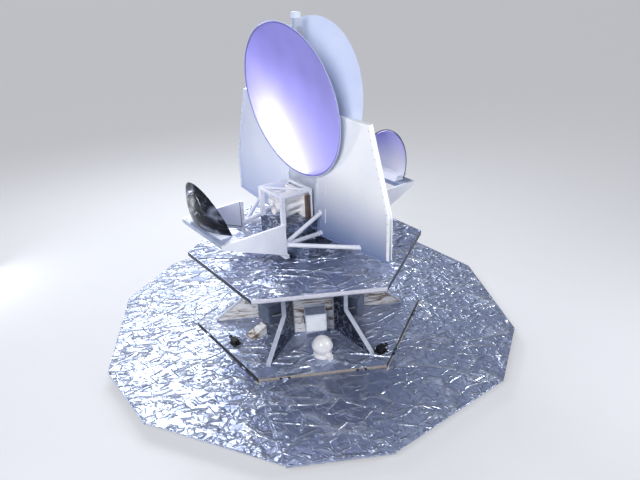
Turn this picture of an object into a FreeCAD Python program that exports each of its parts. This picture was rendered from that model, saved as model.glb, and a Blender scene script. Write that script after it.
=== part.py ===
import FreeCAD, Part
import math
import os

# Space observatory satellite with two back-to-back dishes, parked on its separation ring.
# Millimetres, +Z up, origin at the centre of the ring's lower face, X along the dishes' axes.
# Heights of the instrument, the radiators and the dishes are taken from a datum level below the upper deck.

# Separation ring
ring_height = 100.0
ring_radius = 470.0
ring_wall = 14.0
ring_foot_width = 40.0
ring_cap_width = 20.0
ring_flange_thickness = 12.0
ring_bolt_count = 24
ring_bolt_hole = 9.0
ring_gusset_thickness = 6.0
ring_gusset_width = 30.0
ring_gusset_height = 48.0

# Decks and hub
lower_deck_radius = 1439.0
lower_deck_thickness = 60.0
shield_drop = 20.0
upper_deck_thickness = 55.0
upper_deck_height = 1040.0
hub_radius = 510.0
fin_thickness = 34.0
fin_waist_radius = 735.0
fin_waist_height = 385.0
fin_tip_setback = 239.0
fin_tip_height = 30.0
fin_cap_width = 56.0
fin_cap_thickness = 8.0

# Folding shield
hinge_standoff = 14.5
fold_clearance = 18.0
shield_apothem = 2496.0
panel_outer_side = 1043.0
panel_corner_gap = 15.0
panel_thickness = 25.0
panel_hinge_radius = 10.0
panel_pin_radius = 5.0
panel_root_gap = 6.0
panel_hinge_offset = 430.0
panel_knuckle_length = 60.0
panel_notch_clearance = 6.0
hinge_clearance = 0.3
hinge_side_clearance = 0.5
web_edge_setback = 2.35
web_thickness = 8.0
web_split_gap = 6.0
web_pin_radius = 1.8
web_root_gap = 6.0
web_knuckle_length = 30.0
web_hinge_margin = 180.0
web_tip_setback = 45.0

# Boxes, tank and thrusters on the lower deck
box_width = 250.0
box_depth = 180.0
box_height = 233.0
box_standoff = 78.0
box_corner = 10.0
box_clearance = 167.0
bracket_thickness = 6.0
bracket_inset = 14.0
bracket_drop = 96.0
bracket_lip = 22.0
tank_radius = 118.0
tank_place_radius = 925.0
tank_place_angle = 242.3
tank_gap = 8.0
tank_band_height = 18.0
tank_band_depth = 4.0
tank_skirt_top = 74.0
tank_skirt_foot = 96.0
tank_skirt_flange = 6.0
tank_valve_side = 64.0
tank_valve_height = 52.0
tank_valve_angle = 32.0
wedge_length = 225.0
wedge_width = 110.0
wedge_height = 120.0
wedge_nose_height = 36.0
wedge_corner_setback = 509.0
wedge_place_angle = 180.0
thruster_side_angle = 178.6
thruster_side_setback = 335.0
thruster_front_angle = 276.0
thruster_front_setback = 226.0
thruster_plate_length = 110.0
thruster_plate_width = 130.0
thruster_plate_thickness = 8.0
thruster_block_length = 70.0
thruster_block_width = 96.0
thruster_block_height = 58.0
nozzle_length = 52.0
nozzle_throat = 7.0
nozzle_mouth = 21.0
nozzle_wall = 2.0
nozzle_waist = 0.45
chamber_radius = 11.0
chamber_length = 21.0
nozzle_cant = 28.0
nozzle_spread = 58.0

# Instrument
instrument_datum_drop = 1040.0
isolation_radius = 455.0
isolation_wall = 12.0
isolation_height = 150.0
isolation_flange_width = 30.0
isolation_flange_thickness = 10.0
base_frame_half_x = 620.0
base_frame_half_y = 464.0
base_rail_y = 202.0
base_cross_x = 200.0
base_beam_width = 50.0
base_beam_height = 42.0
core_half_x = 460.0
core_half_y = 262.0
core_height = 230.0
core_chamfer = 16.0
support_plane = 449.0
support_thickness = 30.0
support_inner_x = 594.0
support_tip_x = 1360.0
support_top = 1600.0
support_tip_depth = 48.0
shelf_inner_x = 1140.0
shelf_thickness = 12.0
shelf_rib_y = 220.0
crossbar_width = 44.0
strut_radius = 24.0
strut_node_radius = 31.0
strut_node_height = 1342.0
strut_inner_y = 310.0
strut_mid_height = 1519.0
strut_low_height = 1262.0
strut_outer_y = 989.0
strut_outer_height = 1330.0

# Radiators and spine
radiator_inner_y = 265.0
radiator_outer_y = 1457.0
radiator_inner_low = 1225.0
radiator_outer_low = 1330.0
radiator_kink = 1825.0
radiator_top_y = 1155.0
radiator_top = 2718.0
radiator_sheet = 24.0
radiator_rim = 56.0
radiator_rim_depth = 26.0
radiator_rim_clearance = 20.0
radiator_stile_top = 1870.0
spine_thickness = 28.0
spine_top = 3612.0
spine_neck_height = 82.0
spine_neck_half = 43.0
spine_shoulder_y = 590.0
spine_leg_width = 65.0
spine_leg_depth = 24.0
spine_groove_width = 30.0
spine_groove_depth = 14.0
spine_groove_start = 150.0
spine_window_margin = 60.0
spine_post_half = 40.0
antenna_size_x = 65.0
antenna_size_y = 96.0
antenna_height = 58.0
antenna_corner = 6.0

# Dishes
primary_centre_x = 148.0
primary_centre_z = 2760.0
primary_half_up = 860.0
primary_half_side = 872.0
primary_tilt = 7.5
primary_sag = 75.0
primary_shell = 8.0
primary_lip = 10.0
primary_pad_y = 150.0
primary_pad_low = 2250.0
primary_pad_high = 2900.0
primary_pad_radius = 34.0
secondary_centre_x = 1229.0
secondary_centre_z = 1700.0
secondary_half_up = 470.0
secondary_half_side = 417.0
secondary_tilt = 18.4
secondary_sag = 118.0
secondary_shell = 38.0
secondary_lip = 12.0
cradle_height = 55.0
cradle_half_y = 320.0
cradle_splay = 60.0

# Focal plane
frame_inner_x = 60.0
frame_outer_x = 480.0
frame_half_y = 235.0
frame_top = 1810.0
frame_bar = 26.0
frame_post = 46.0
horn_mouth = 46.0
horn_throat = 18.0
horn_length = 250.0
horn_wall = 3.0
horn_flare = 0.3
horn_lip = 4.0
horn_lip_thickness = 6.0
horn_flange = 9.0
horn_rows = ((1728.0, (-140.0, 0.0, 140.0)), (1625.0, (-140.0, 0.0, 140.0)), (1524.0, (-90.0, 90.0)))
horn_wall_plate = 50.0
horn_plate_gap = 26.0
receiver_width = 55.0
receiver_depth = 40.0
receiver_height = 275.0

# Derived places
cos30 = math.cos(math.pi / 6.0)
shield_top = ring_height + lower_deck_thickness - shield_drop
panel_inner_side = lower_deck_radius - panel_corner_gap
secondary_cut_height = support_top + cradle_height
hub_wall = hub_radius * cos30
fin_tip_radius = lower_deck_radius - fin_tip_setback
wedge_place_radius = lower_deck_radius - wedge_corner_setback
thruster_places = ((thruster_side_angle, lower_deck_radius - thruster_side_setback),
                   (thruster_front_angle, lower_deck_radius - thruster_front_setback))
deck_top = ring_height + lower_deck_thickness
hinge_apothem = lower_deck_radius * cos30 + hinge_standoff
hinge_z = shield_top
upper_deck_radius = (hinge_apothem - fold_clearance) / cos30
web_outer_apothem = shield_apothem * cos30 + panel_outer_side / 4.0 - web_edge_setback
upper_deck_top = shield_top + upper_deck_height
upper_deck_low = upper_deck_top - upper_deck_thickness
instrument_zero = upper_deck_top - instrument_datum_drop
base_low = upper_deck_top + isolation_height
core_low = base_low + base_beam_height
core_top = core_low + core_height
support_face = support_plane - support_thickness / 2.0
UP = FreeCAD.Vector(0, 0, 1)


def vec(x, y, z=0.0):
    """Return a vector."""
    return FreeCAD.Vector(x, y, z)


def box(x0, x1, y0, y1, z0, z1):
    """Return a box between two corners."""
    return Part.makeBox(x1 - x0, y1 - y0, z1 - z0, vec(x0, y0, z0))


def rounded_box(x0, x1, y0, y1, z0, z1, radius):
    """Return a box whose four upright edges are rounded."""
    block = box(x0, x1, y0, y1, z0, z1)
    upright = [edge for edge in block.Edges if abs(edge.tangentAt(edge.FirstParameter).z) > 0.5]
    return block.makeFillet(radius, upright)


def prism(points, direction):
    """Return the solid swept by a polygon along a direction."""
    return Part.Face(Part.makePolygon(points + [points[0]])).extrude(direction)


def turned_profile(points):
    """Return the solid of a closed outline of (radius, height) pairs turned about the Z axis."""
    outline = [vec(radius, 0, height) for radius, height in points]
    return Part.Face(Part.makePolygon(outline + [outline[0]])).revolve(vec(0, 0), UP, 360)


def hexagon(radius, z0, z1):
    """Return a hexagonal prism with corners at 30, 90, 150 ... degrees."""
    angles = [math.radians(30 + 60 * i) for i in range(6)]
    points = [vec(radius * math.cos(a), radius * math.sin(a), z0) for a in angles]
    return prism(points, vec(0, 0, z1 - z0))


def turned(shape, degrees):
    """Return a copy turned about the Z axis."""
    copy = shape.copy()
    copy.rotate(vec(0, 0), UP, degrees)
    return copy


def tube(start, end, radius):
    """Return a round bar between two points."""
    return Part.makeCylinder(radius, (end - start).Length, start, end - start)


def fused(shapes):
    """Return one shape fused from many."""
    result = shapes[0]
    if len(shapes) > 1:
        result = shapes[0].multiFuse(shapes[1:])
    return result.removeSplitter()


def mirrored_x(shape):
    """Return the shape mirrored to the other side of the central plane."""
    return shape.mirror(vec(0, 0), vec(1, 0))


def mirrored_y(shape):
    """Return the shape mirrored across the XZ plane."""
    return shape.mirror(vec(0, 0), vec(0, 1))


def write(name, shape):
    """Write one node."""
    shape.exportStep("parts/" + name + ".step")


# Separation ring
def separation_ring():
    """A flanged cylinder that the launcher clamps, and that the satellite is parked on."""
    inner = ring_radius - ring_wall
    foot = ring_radius + ring_foot_width
    cap = ring_radius + ring_cap_width
    low = ring_flange_thickness
    high = ring_height - ring_flange_thickness
    ring = turned_profile([(inner, 0.0), (foot, 0.0), (foot, low), (ring_radius, low), (ring_radius, high),
                           (cap, high), (cap, ring_height), (inner, ring_height)])
    half = ring_gusset_thickness / 2.0
    root = ring_radius - ring_wall / 2.0
    top = low + ring_gusset_height
    gusset = prism([vec(root, -half, low), vec(ring_radius + ring_gusset_width, -half, low),
                    vec(ring_radius, -half, top), vec(root, -half, top)], vec(0, ring_gusset_thickness))
    bolt = Part.makeCylinder(ring_bolt_hole / 2.0, low, vec(ring_radius + ring_foot_width / 2.0, 0))
    step = 360.0 / ring_bolt_count
    gussets = [turned(gusset, step * (i + 0.5)) for i in range(ring_bolt_count)]
    bolts = [turned(bolt, step * i) for i in range(ring_bolt_count)]
    return fused([ring] + gussets).cut(Part.makeCompound(bolts))


# Folding shield: hinge knuckles
def knuckle(start, length, radius, bore):
    """A tube along +Y from a start point, with a bore."""
    outer = Part.makeCylinder(radius, length, start, vec(0, 1))
    return outer.cut(Part.makeCylinder(bore, length, start, vec(0, 1)))


def panel_hinges():
    """Y places of the two hinges along a panel's root."""
    return (-panel_hinge_offset, panel_hinge_offset)


def deck_hinge_ears():
    """Ears on the deck's +X edge that hold the pins of one panel."""
    deck_edge = lower_deck_radius * cos30
    radius = panel_hinge_radius
    bore = panel_pin_radius + hinge_clearance
    ears = []
    for middle in panel_hinges():
        for side in (-1, 1):
            inner = middle + side * (panel_knuckle_length / 2.0 + hinge_side_clearance)
            start = min(inner, inner + side * panel_knuckle_length / 2.0)
            length = panel_knuckle_length / 2.0
            arm = box(deck_edge, hinge_apothem, start, start + length, hinge_z - radius, hinge_z + radius)
            hole = Part.makeCylinder(bore, length, vec(hinge_apothem, start, hinge_z), vec(0, 1))
            ear = fused([arm, knuckle(vec(hinge_apothem, start, hinge_z), length, radius, bore)])
            ears.append(ear.cut(hole))
    return ears


def lower_deck():
    """The hexagonal deck that the shield folds from."""
    deck = hexagon(lower_deck_radius, ring_height, deck_top)
    parts = [deck]
    for i in range(6):
        parts += [turned(ear, 60.0 * i) for ear in deck_hinge_ears()]
    return fused(parts)


def panel_side_points():
    """Inner and outer end of a panel's +Y side edge."""
    inner = vec(hinge_apothem + panel_root_gap, panel_inner_side / 2.0)
    outer = vec(shield_apothem, panel_outer_side / 2.0)
    return inner, outer


def web_frame():
    """Direction along the web hinge and the outward direction across it."""
    inner, outer = panel_side_points()
    along = (outer - inner).normalize()
    across = vec(-along.y, along.x)
    return inner, along, across


def web_axis_start():
    """A point on the web hinge line, level with the film."""
    inner, along, across = web_frame()
    point = inner + across * web_root_gap
    return vec(point.x, point.y, shield_top - web_thickness / 2.0)


def web_hinge_places():
    """Distances along the side edge to the middle of each web hinge."""
    inner, outer = panel_side_points()
    length = (outer - inner).Length
    return (web_hinge_margin, length / 2.0, length - web_hinge_margin)


def shield_panel():
    """One trapezoid panel pointing to +X, with its pins and its web hinge ears."""
    inner, outer = panel_side_points()
    outline = [inner, outer, vec(outer.x, -outer.y), vec(inner.x, -inner.y)]
    points = [vec(p.x, p.y, shield_top - panel_thickness) for p in outline]
    parts = [prism(points, vec(0, 0, panel_thickness))]
    radius = panel_hinge_radius
    ear = panel_knuckle_length / 2.0 + hinge_side_clearance + panel_notch_clearance
    notch_depth = radius + panel_notch_clearance
    for middle in panel_hinges():
        start = middle - panel_knuckle_length / 2.0
        end = start + panel_knuckle_length
        for low in (start - ear, end):
            parts[0] = parts[0].cut(box(hinge_apothem, hinge_apothem + notch_depth, low, low + ear,
                                        shield_top - panel_thickness, shield_top))
        axis = vec(hinge_apothem, start, hinge_z)
        parts.append(Part.makeCylinder(radius, panel_knuckle_length, axis, vec(0, 1)))
        parts.append(box(hinge_apothem, inner.x, start, end, hinge_z - radius, hinge_z))
        pin_start = start - panel_knuckle_length / 2.0
        pin = vec(hinge_apothem, pin_start, hinge_z)
        parts.append(Part.makeCylinder(panel_pin_radius, 2.0 * panel_knuckle_length, pin, vec(0, 1)))
    parts += web_ears() + [mirrored_y(ear) for ear in web_ears()]
    return fused(parts)


def web_ears():
    """Pins on the panel's +Y side that the web turns on."""
    inner, along, across = web_frame()
    start = web_axis_start()
    ears = []
    for place in web_hinge_places():
        for side in (-1, 1):
            middle = place + side * web_knuckle_length
            low = middle - web_knuckle_length / 2.0 + hinge_side_clearance
            length = web_knuckle_length - 2.0 * hinge_side_clearance
            ears.append(tube(start + along * low, start + along * (low + length), web_thickness / 2.0))
            foot = start + along * low - UP * (web_thickness / 2.0)
            back = foot - across * web_root_gap
            ears.append(prism([foot, foot + along * length, back + along * length, back],
                              UP * web_thickness))
        pin_start = start + along * (place - web_knuckle_length * 1.5)
        ears.append(tube(pin_start, pin_start + along * (3.0 * web_knuckle_length), web_pin_radius))
    return ears


def web_half():
    """Half of a web, hinged on the +Y side of the panel that points to +X."""
    inner, along, across = web_frame()
    start = web_axis_start()
    half_gap = web_split_gap / 2.0
    split = vec(math.cos(math.pi / 6.0), math.sin(math.pi / 6.0))
    normal = vec(-split.y, split.x)
    root = start + across * web_root_gap
    low = shield_top - web_thickness
    tip_run = (-half_gap - root.dot(normal)) / along.dot(normal)
    tip = root + along * tip_run
    setback = tip + along * web_tip_setback
    out = vec(split.x, split.y) * web_outer_apothem
    run = ((out - root).dot(split)) / along.dot(split)
    outer_root = root + along * run
    outer_mid = out - normal * half_gap
    inner_mid_run = (setback - out).dot(split)
    inner_mid = out + split * inner_mid_run - normal * half_gap
    outline = [setback, outer_root, outer_mid, inner_mid]
    points = [vec(p.x, p.y, low) for p in outline]
    body = prism(points, UP * web_thickness)
    parts = [body]
    bore = web_pin_radius + hinge_clearance
    holes = []
    for place in web_hinge_places():
        first = start + along * (place - web_knuckle_length / 2.0 + hinge_side_clearance)
        last = start + along * (place + web_knuckle_length / 2.0 - hinge_side_clearance)
        parts.append(tube(first, last, web_thickness / 2.0))
        foot = first - UP * (web_thickness / 2.0)
        span = last - first
        parts.append(prism([foot, foot + span, foot + span + across * web_root_gap,
                            foot + across * web_root_gap], UP * web_thickness))
        holes.append(tube(first - along, last + along, bore))
    web = fused(parts)
    for hole in holes:
        web = web.cut(hole)
    return web


# Bus
def hub():
    """Hexagonal core between the decks."""
    return hexagon(hub_radius, deck_top, upper_deck_low)


def fin_outline(inner_x):
    """Side outline of a fin, flared where it meets the lower deck."""
    return [
        vec(inner_x, 0, deck_top),
        vec(fin_tip_radius, 0, deck_top),
        vec(fin_tip_radius, 0, deck_top + fin_tip_height),
        vec(fin_waist_radius, 0, deck_top + fin_waist_height),
        vec(fin_waist_radius, 0, upper_deck_low),
        vec(inner_x, 0, upper_deck_low),
    ]


def radial_fins():
    """Six flared fins from the hub's corners to the lower deck, each with a cap along its free edge."""
    outline = fin_outline(hub_radius - fin_thickness)
    web = prism([p - vec(0, fin_thickness / 2.0) for p in outline], vec(0, fin_thickness))
    wide = prism([p - vec(0, fin_cap_width / 2.0) for p in outline], vec(0, fin_cap_width))
    behind = wide.copy()
    behind.translate(vec(-fin_cap_thickness, 0))
    fin = fused([web, wide.cut(behind)])
    core = hub()
    return Part.makeCompound([turned(fin, 30.0 + 60.0 * i).cut(core) for i in range(6)])


def upper_deck():
    """Hexagonal deck that carries the instrument."""
    return hexagon(upper_deck_radius, upper_deck_low, upper_deck_top)


def bay_box():
    """Electronics box on its wall bracket in the bay that faces +X."""
    foot = deck_top + box_clearance
    half = box_width / 2.0
    back = hub_wall + box_standoff
    front = back + box_depth
    body = rounded_box(back, front, -half, half, foot, foot + box_height, box_corner)
    plate = bracket_thickness
    side = half - bracket_inset
    under = foot - plate
    low = under - bracket_drop
    top = foot + box_height - bracket_lip
    tray = box(hub_wall, front - bracket_inset, -side, side, under, foot)
    root = box(hub_wall, hub_wall + plate, -side, side, low, top)
    cap = box(hub_wall, back, -side, side, top, top + plate)
    parts = [body, tray, root, cap]
    for edge in (-side, side - plate):
        outline = [vec(hub_wall, edge, under), vec(front - bracket_inset, edge, under),
                   vec(hub_wall + plate, edge, low), vec(hub_wall, edge, low)]
        parts.append(prism(outline, vec(0, plate)))
    return fused(parts)


def propellant_tank():
    """Round tank with a band round its middle, on a short flared skirt, with its valve block beside it."""
    centre = deck_top + tank_gap + tank_radius
    sphere = Part.makeSphere(tank_radius, vec(0, 0, centre))
    band_low = centre - tank_band_height / 2.0
    band = Part.makeCylinder(tank_radius + tank_band_depth, tank_band_height, vec(0, 0, band_low))
    seat = centre - math.sqrt(tank_radius ** 2 - tank_skirt_top ** 2)
    skirt = Part.makeCone(tank_skirt_foot, tank_skirt_top, seat - deck_top, vec(0, 0, deck_top))
    foot = tank_skirt_foot + 2.0 * tank_skirt_flange
    flange = Part.makeCylinder(foot, tank_skirt_flange, vec(0, 0, deck_top))
    valve = tank_valve_side / 2.0
    block = rounded_box(tank_radius - valve, tank_radius + valve, -valve, valve, deck_top,
                        deck_top + tank_valve_height, tank_skirt_flange)
    block.rotate(vec(0, 0), UP, tank_valve_angle)
    tank = fused([sphere, band, skirt, flange, block])
    tank.translate(vec(tank_place_radius, 0))
    return turned(tank, tank_place_angle)


def harness_wedge():
    """Small wrapped wedge on the deck in one bay."""
    back = wedge_place_radius - wedge_length
    nose = wedge_place_radius
    outline = [vec(back, 0, deck_top), vec(nose, 0, deck_top),
               vec(nose, 0, deck_top + wedge_nose_height), vec(back, 0, deck_top + wedge_height)]
    wedge = prism([p - vec(0, wedge_width / 2.0) for p in outline], vec(0, wedge_width))
    return turned(wedge, wedge_place_angle)


def nozzle():
    """A bell nozzle along +Z, with its chamber at the origin."""
    length = nozzle_length
    waist = length * nozzle_waist
    waist_radius = (nozzle_throat + 2.0 * nozzle_mouth) / 3.0
    outer = Part.Arc(vec(nozzle_throat, 0, 0), vec(waist_radius, 0, waist), vec(nozzle_mouth, 0, length))
    rim = Part.makeLine(vec(nozzle_mouth, 0, length), vec(nozzle_mouth - nozzle_wall, 0, length))
    inner = Part.Arc(vec(nozzle_mouth - nozzle_wall, 0, length), vec(waist_radius - nozzle_wall, 0, waist),
                     vec(nozzle_throat - nozzle_wall, 0, 0))
    throat = Part.makeLine(vec(nozzle_throat - nozzle_wall, 0, 0), vec(nozzle_throat, 0, 0))
    wall = Part.Face(Part.Wire([outer.toShape(), rim, inner.toShape(), throat]))
    bell = wall.revolve(vec(0, 0), UP, 360)
    chamber = Part.makeCylinder(chamber_radius, chamber_length, vec(0, 0, -chamber_length))
    return fused([bell, chamber])


def thruster_pods():
    """Four plates with a block and two canted nozzles each, in two opposite pairs."""
    half = thruster_block_width / 2.0
    plate = box(-thruster_plate_length / 2.0, thruster_plate_length / 2.0, -thruster_plate_width / 2.0,
                thruster_plate_width / 2.0, 0.0, thruster_plate_thickness)
    block = box(-thruster_block_length / 2.0, thruster_block_length / 2.0, -half, half,
                thruster_plate_thickness, thruster_plate_thickness + thruster_block_height)
    parts = [plate, block]
    for side in (-1, 1):
        bell = nozzle()
        bell.rotate(vec(0, 0), vec(0, 1), nozzle_cant)
        bell.rotate(vec(0, 0), vec(1, 0), -side * nozzle_spread)
        bell.translate(vec(0, side * half, thruster_plate_thickness + thruster_block_height * 0.6))
        parts.append(bell)
    pod = fused(parts)
    pods = []
    for angle, radius in thruster_places:
        for turn in (0.0, 180.0):
            copy = pod.copy()
            copy.translate(vec(radius, 0, deck_top))
            pods.append(turned(copy, angle + turn))
    return Part.makeCompound(pods)


# Instrument
def isolation_cylinder():
    """Thin flanged cylinder that carries the cold instrument on the upper deck."""
    inner = isolation_radius - isolation_wall
    flange = isolation_radius + isolation_flange_width
    low = upper_deck_top
    foot = low + isolation_flange_thickness
    high = base_low - isolation_flange_thickness
    return turned_profile([(inner, low), (flange, low), (flange, foot), (isolation_radius, foot),
                           (isolation_radius, high), (flange, high), (flange, base_low), (inner, base_low)])


def base_frame():
    """Frame of box beams on the cylinder: two end beams, two rails and two cross beams."""
    hx, hy, w = base_frame_half_x, base_frame_half_y, base_beam_width
    beams = []
    for side in (-1, 1):
        end = side * (hx - w / 2.0)
        rail = side * base_rail_y
        cross = side * base_cross_x
        beams.append(box(end - w / 2.0, end + w / 2.0, -hy, hy, base_low, core_low))
        beams.append(box(-hx, hx, rail - w / 2.0, rail + w / 2.0, base_low, core_low))
        beams.append(box(cross - w / 2.0, cross + w / 2.0, -base_rail_y, base_rail_y, base_low, core_low))
    return fused(beams)


def instrument_core():
    """Wrapped block between the base frame and the focal plane."""
    block = box(-core_half_x, core_half_x, -core_half_y, core_half_y, core_low, core_top)
    ends = [edge for edge in block.Edges if abs(edge.tangentAt(edge.FirstParameter).y) > 0.5]
    top = [edge for edge in ends if edge.CenterOfMass.z > (core_low + core_top) / 2.0]
    return block.makeChamfer(core_chamfer, top)


def support_plate():
    """The +Y wedge plate of the +X side, which reaches out under the secondary."""
    top = instrument_zero + support_top
    outline = [
        vec(support_inner_x, support_face, core_low),
        vec(support_inner_x, support_face, top),
        vec(support_tip_x, support_face, top),
        vec(support_tip_x, support_face, top - support_tip_depth),
    ]
    return prism(outline, vec(0, support_thickness))


def crossbar():
    """Narrow ribbed shelf under the secondary, with a deep bar at the tips of the wedge plates."""
    top = instrument_zero + support_top
    low = top - support_tip_depth
    half = support_face
    parts = [
        box(shelf_inner_x, support_tip_x, -half, half, top - shelf_thickness, top),
        box(support_tip_x - crossbar_width, support_tip_x, -half, half, low, top),
        box(shelf_inner_x, shelf_inner_x + shelf_thickness, -half, half, low, top),
    ]
    for side in (-1, 1):
        rib = side * shelf_rib_y - shelf_thickness / 2.0
        parts.append(box(shelf_inner_x, support_tip_x, rib, rib + shelf_thickness, low, top))
    return fused(parts)


def struts(neighbours):
    """White tubes from the wedge plates to the radiators, cut to seat on them."""
    bars = []
    for sx in (-1, 1):
        for sy in (-1, 1):
            node_y = support_face - strut_radius
            node = vec(sx * support_inner_x, sy * node_y, instrument_zero + strut_node_height)
            ends = ((strut_inner_y, strut_mid_height), (strut_inner_y, strut_low_height),
                    (strut_outer_y, strut_outer_height))
            legs = [Part.makeSphere(strut_node_radius, node)]
            for y, z in ends:
                legs.append(tube(node, vec(0, sy * y, instrument_zero + z), strut_radius))
            frame = fused(legs)
            for neighbour in neighbours:
                pieces = frame.cut(neighbour).Solids
                pieces.sort(key=lambda piece: piece.Volume)
                frame = pieces[-1]
            bars.append(frame)
    return Part.makeCompound(bars)


def radiator():
    """Radiator wing on the +Y side, in the plane between the dishes, with a thick rim."""
    z = instrument_zero
    outline = [
        vec(0, radiator_inner_y, z + radiator_inner_low),
        vec(0, radiator_outer_y, z + radiator_outer_low),
        vec(0, radiator_outer_y, z + radiator_kink),
        vec(0, radiator_top_y, z + radiator_top),
        vec(0, radiator_inner_y, z + radiator_top),
    ]
    face = Part.Face(Part.makePolygon(outline + [outline[0]]))
    sheet = face.extrude(vec(radiator_sheet, 0))
    sheet.translate(vec(-radiator_sheet / 2.0, 0))
    band = face.cut(face.makeOffset2D(-radiator_rim_depth, join=2))
    rim = band.extrude(vec(radiator_rim, 0))
    rim.translate(vec(-radiator_rim / 2.0, 0))
    dish_room = box(-radiator_rim, radiator_rim, 0.0, primary_half_side + radiator_rim_clearance,
                    z + radiator_stile_top, z + radiator_top + radiator_rim)
    return fused([sheet, rim.cut(dish_room)])


def spine_leg():
    """Sloping flange on the +Y edge of the spine's head, grooved along its outer face."""
    shoulder = vec(0, spine_shoulder_y, instrument_zero + radiator_top)
    neck = vec(0, spine_neck_half, instrument_zero + spine_top - spine_neck_height)
    head = vec(0, spine_neck_half, instrument_zero + spine_top)
    inward = vec(0, -spine_leg_depth)
    half = spine_leg_width / 2.0
    outline = [shoulder, neck, head, head + inward, neck + inward, shoulder + inward]
    leg = prism([p - vec(half, 0) for p in outline], vec(2.0 * half, 0))
    down = (shoulder - neck).normalize()
    start = neck + down * spine_groove_start
    end = shoulder + down * spine_leg_depth
    out = vec(0, spine_leg_depth)
    depth = vec(0, -spine_groove_depth)
    groove = [start + depth, start + out, end + out, end + depth]
    half = spine_groove_width / 2.0
    return leg.cut(prism([p - vec(half, 0) for p in groove], vec(2.0 * half, 0)))


def spine_window():
    """Opening in the +Y half of the spine's head, between its post and its sloping leg."""
    low = instrument_zero + radiator_top + spine_window_margin
    neck = instrument_zero + spine_top - spine_neck_height
    slope = (spine_shoulder_y - spine_neck_half) / (neck - instrument_zero - radiator_top)
    inner = spine_post_half
    outer = spine_neck_half + slope * (neck - low) - spine_leg_depth - spine_window_margin
    height = (outer - inner) / slope
    outline = [vec(-spine_thickness, inner, low), vec(-spine_thickness, outer, low),
               vec(-spine_thickness, inner, low + height)]
    return prism(outline, vec(2.0 * spine_thickness, 0))


def spine():
    """Tapered frame between the dishes that carries both of them."""
    shoulder = instrument_zero + radiator_top
    head = instrument_zero + spine_top
    neck = head - spine_neck_height
    side = [vec(0, radiator_inner_y, core_top), vec(0, radiator_inner_y, shoulder),
            vec(0, spine_shoulder_y, shoulder), vec(0, spine_neck_half, neck), vec(0, spine_neck_half, head)]
    outline = side + [vec(0, -p.y, p.z) for p in reversed(side)]
    plate = prism([p - vec(spine_thickness / 2.0, 0) for p in outline], vec(spine_thickness, 0))
    window = spine_window()
    plate = plate.cut(window).cut(mirrored_y(window))
    leg = spine_leg()
    return fused([plate, leg, mirrored_y(leg)])


def top_antenna():
    """Small box antenna at the very top."""
    low = instrument_zero + spine_top
    x, y = antenna_size_x / 2.0, antenna_size_y / 2.0
    return rounded_box(-x, x, -y, y, low, low + antenna_height, antenna_corner)


# Dishes
def dish_arc(radius, sag):
    """Half of a dish's section from the rim to the axis, in the XZ plane, bulging towards +X."""
    curve = (radius ** 2 + sag ** 2) / (2.0 * sag)
    half = radius / 2.0
    middle = sag - curve + math.sqrt(curve ** 2 - half ** 2)
    return Part.Arc(vec(0, 0, radius), vec(middle, 0, half), vec(sag, 0, 0)).toShape()


def dish(half_up, half_side, sag, shell, lip):
    """A bowl in its own frame: rim in the YZ plane, back towards +X, shell thick on its axis."""
    back = dish_arc(half_up, sag + shell)
    front = dish_arc(half_up - lip, sag)
    rim = Part.makeLine(vec(0, 0, half_up), vec(0, 0, half_up - lip))
    axis = Part.makeLine(vec(sag, 0, 0), vec(sag + shell, 0, 0))
    section = Part.Face(Part.Wire(Part.__sortEdges__([back, rim, front, axis])))
    bowl = section.revolve(vec(0, 0), vec(1, 0), 360)
    stretch = FreeCAD.Matrix()
    stretch.scale(1.0, half_side / half_up, 1.0)
    return bowl.transformGeometry(stretch)


def primary():
    """The +X primary: its hollow faces +X, its back faces the spine."""
    bowl = mirrored_x(dish(primary_half_up, primary_half_side, primary_sag, primary_shell, primary_lip))
    bowl.rotate(vec(0, 0), vec(0, 1), primary_tilt)
    bowl.translate(vec(primary_centre_x, 0, instrument_zero + primary_centre_z))
    return bowl


def secondary():
    """The +X secondary: its hollow faces the primary, its foot is cut level above the shelf."""
    bowl = dish(secondary_half_up, secondary_half_side, secondary_sag, secondary_shell, secondary_lip)
    bowl.rotate(vec(0, 0), vec(0, 1), secondary_tilt)
    bowl.translate(vec(secondary_centre_x, 0, instrument_zero + secondary_centre_z))
    cut = instrument_zero + secondary_cut_height
    reach = secondary_half_up * 2.0
    return bowl.cut(box(0.0, secondary_centre_x + reach, -reach, reach, cut - reach, cut))


def primary_pads(shell):
    """Pads from the spine to the +X primary's back, cut by the primary itself."""
    result = []
    for y in (-primary_pad_y, primary_pad_y):
        for z in (primary_pad_low, primary_pad_high):
            start = vec(spine_thickness / 2.0, y, instrument_zero + z)
            bar = Part.makeCylinder(primary_pad_radius, 2.0 * primary_centre_x, start, vec(1, 0))
            pieces = bar.cut(shell).Solids
            pieces.sort(key=lambda piece: (piece.CenterOfMass - start).Length)
            result.append(pieces[0])
    return Part.makeCompound(result)


def secondary_cradle():
    """Cradle on the shelf that the cut foot of the secondary sits on."""
    tilt = math.radians(secondary_tilt)
    front = secondary_centre_x - (secondary_centre_z - secondary_cut_height) * math.tan(tilt)
    back = front + (secondary_sag + secondary_shell) * math.cos(tilt)
    low = instrument_zero + support_top
    high = instrument_zero + secondary_cut_height
    outline = [vec(front - cradle_splay, -cradle_half_y, low), vec(back - cradle_splay, -cradle_half_y, low),
               vec(back, -cradle_half_y, high), vec(front, -cradle_half_y, high)]
    return prism(outline, vec(0, 2.0 * cradle_half_y))


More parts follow.
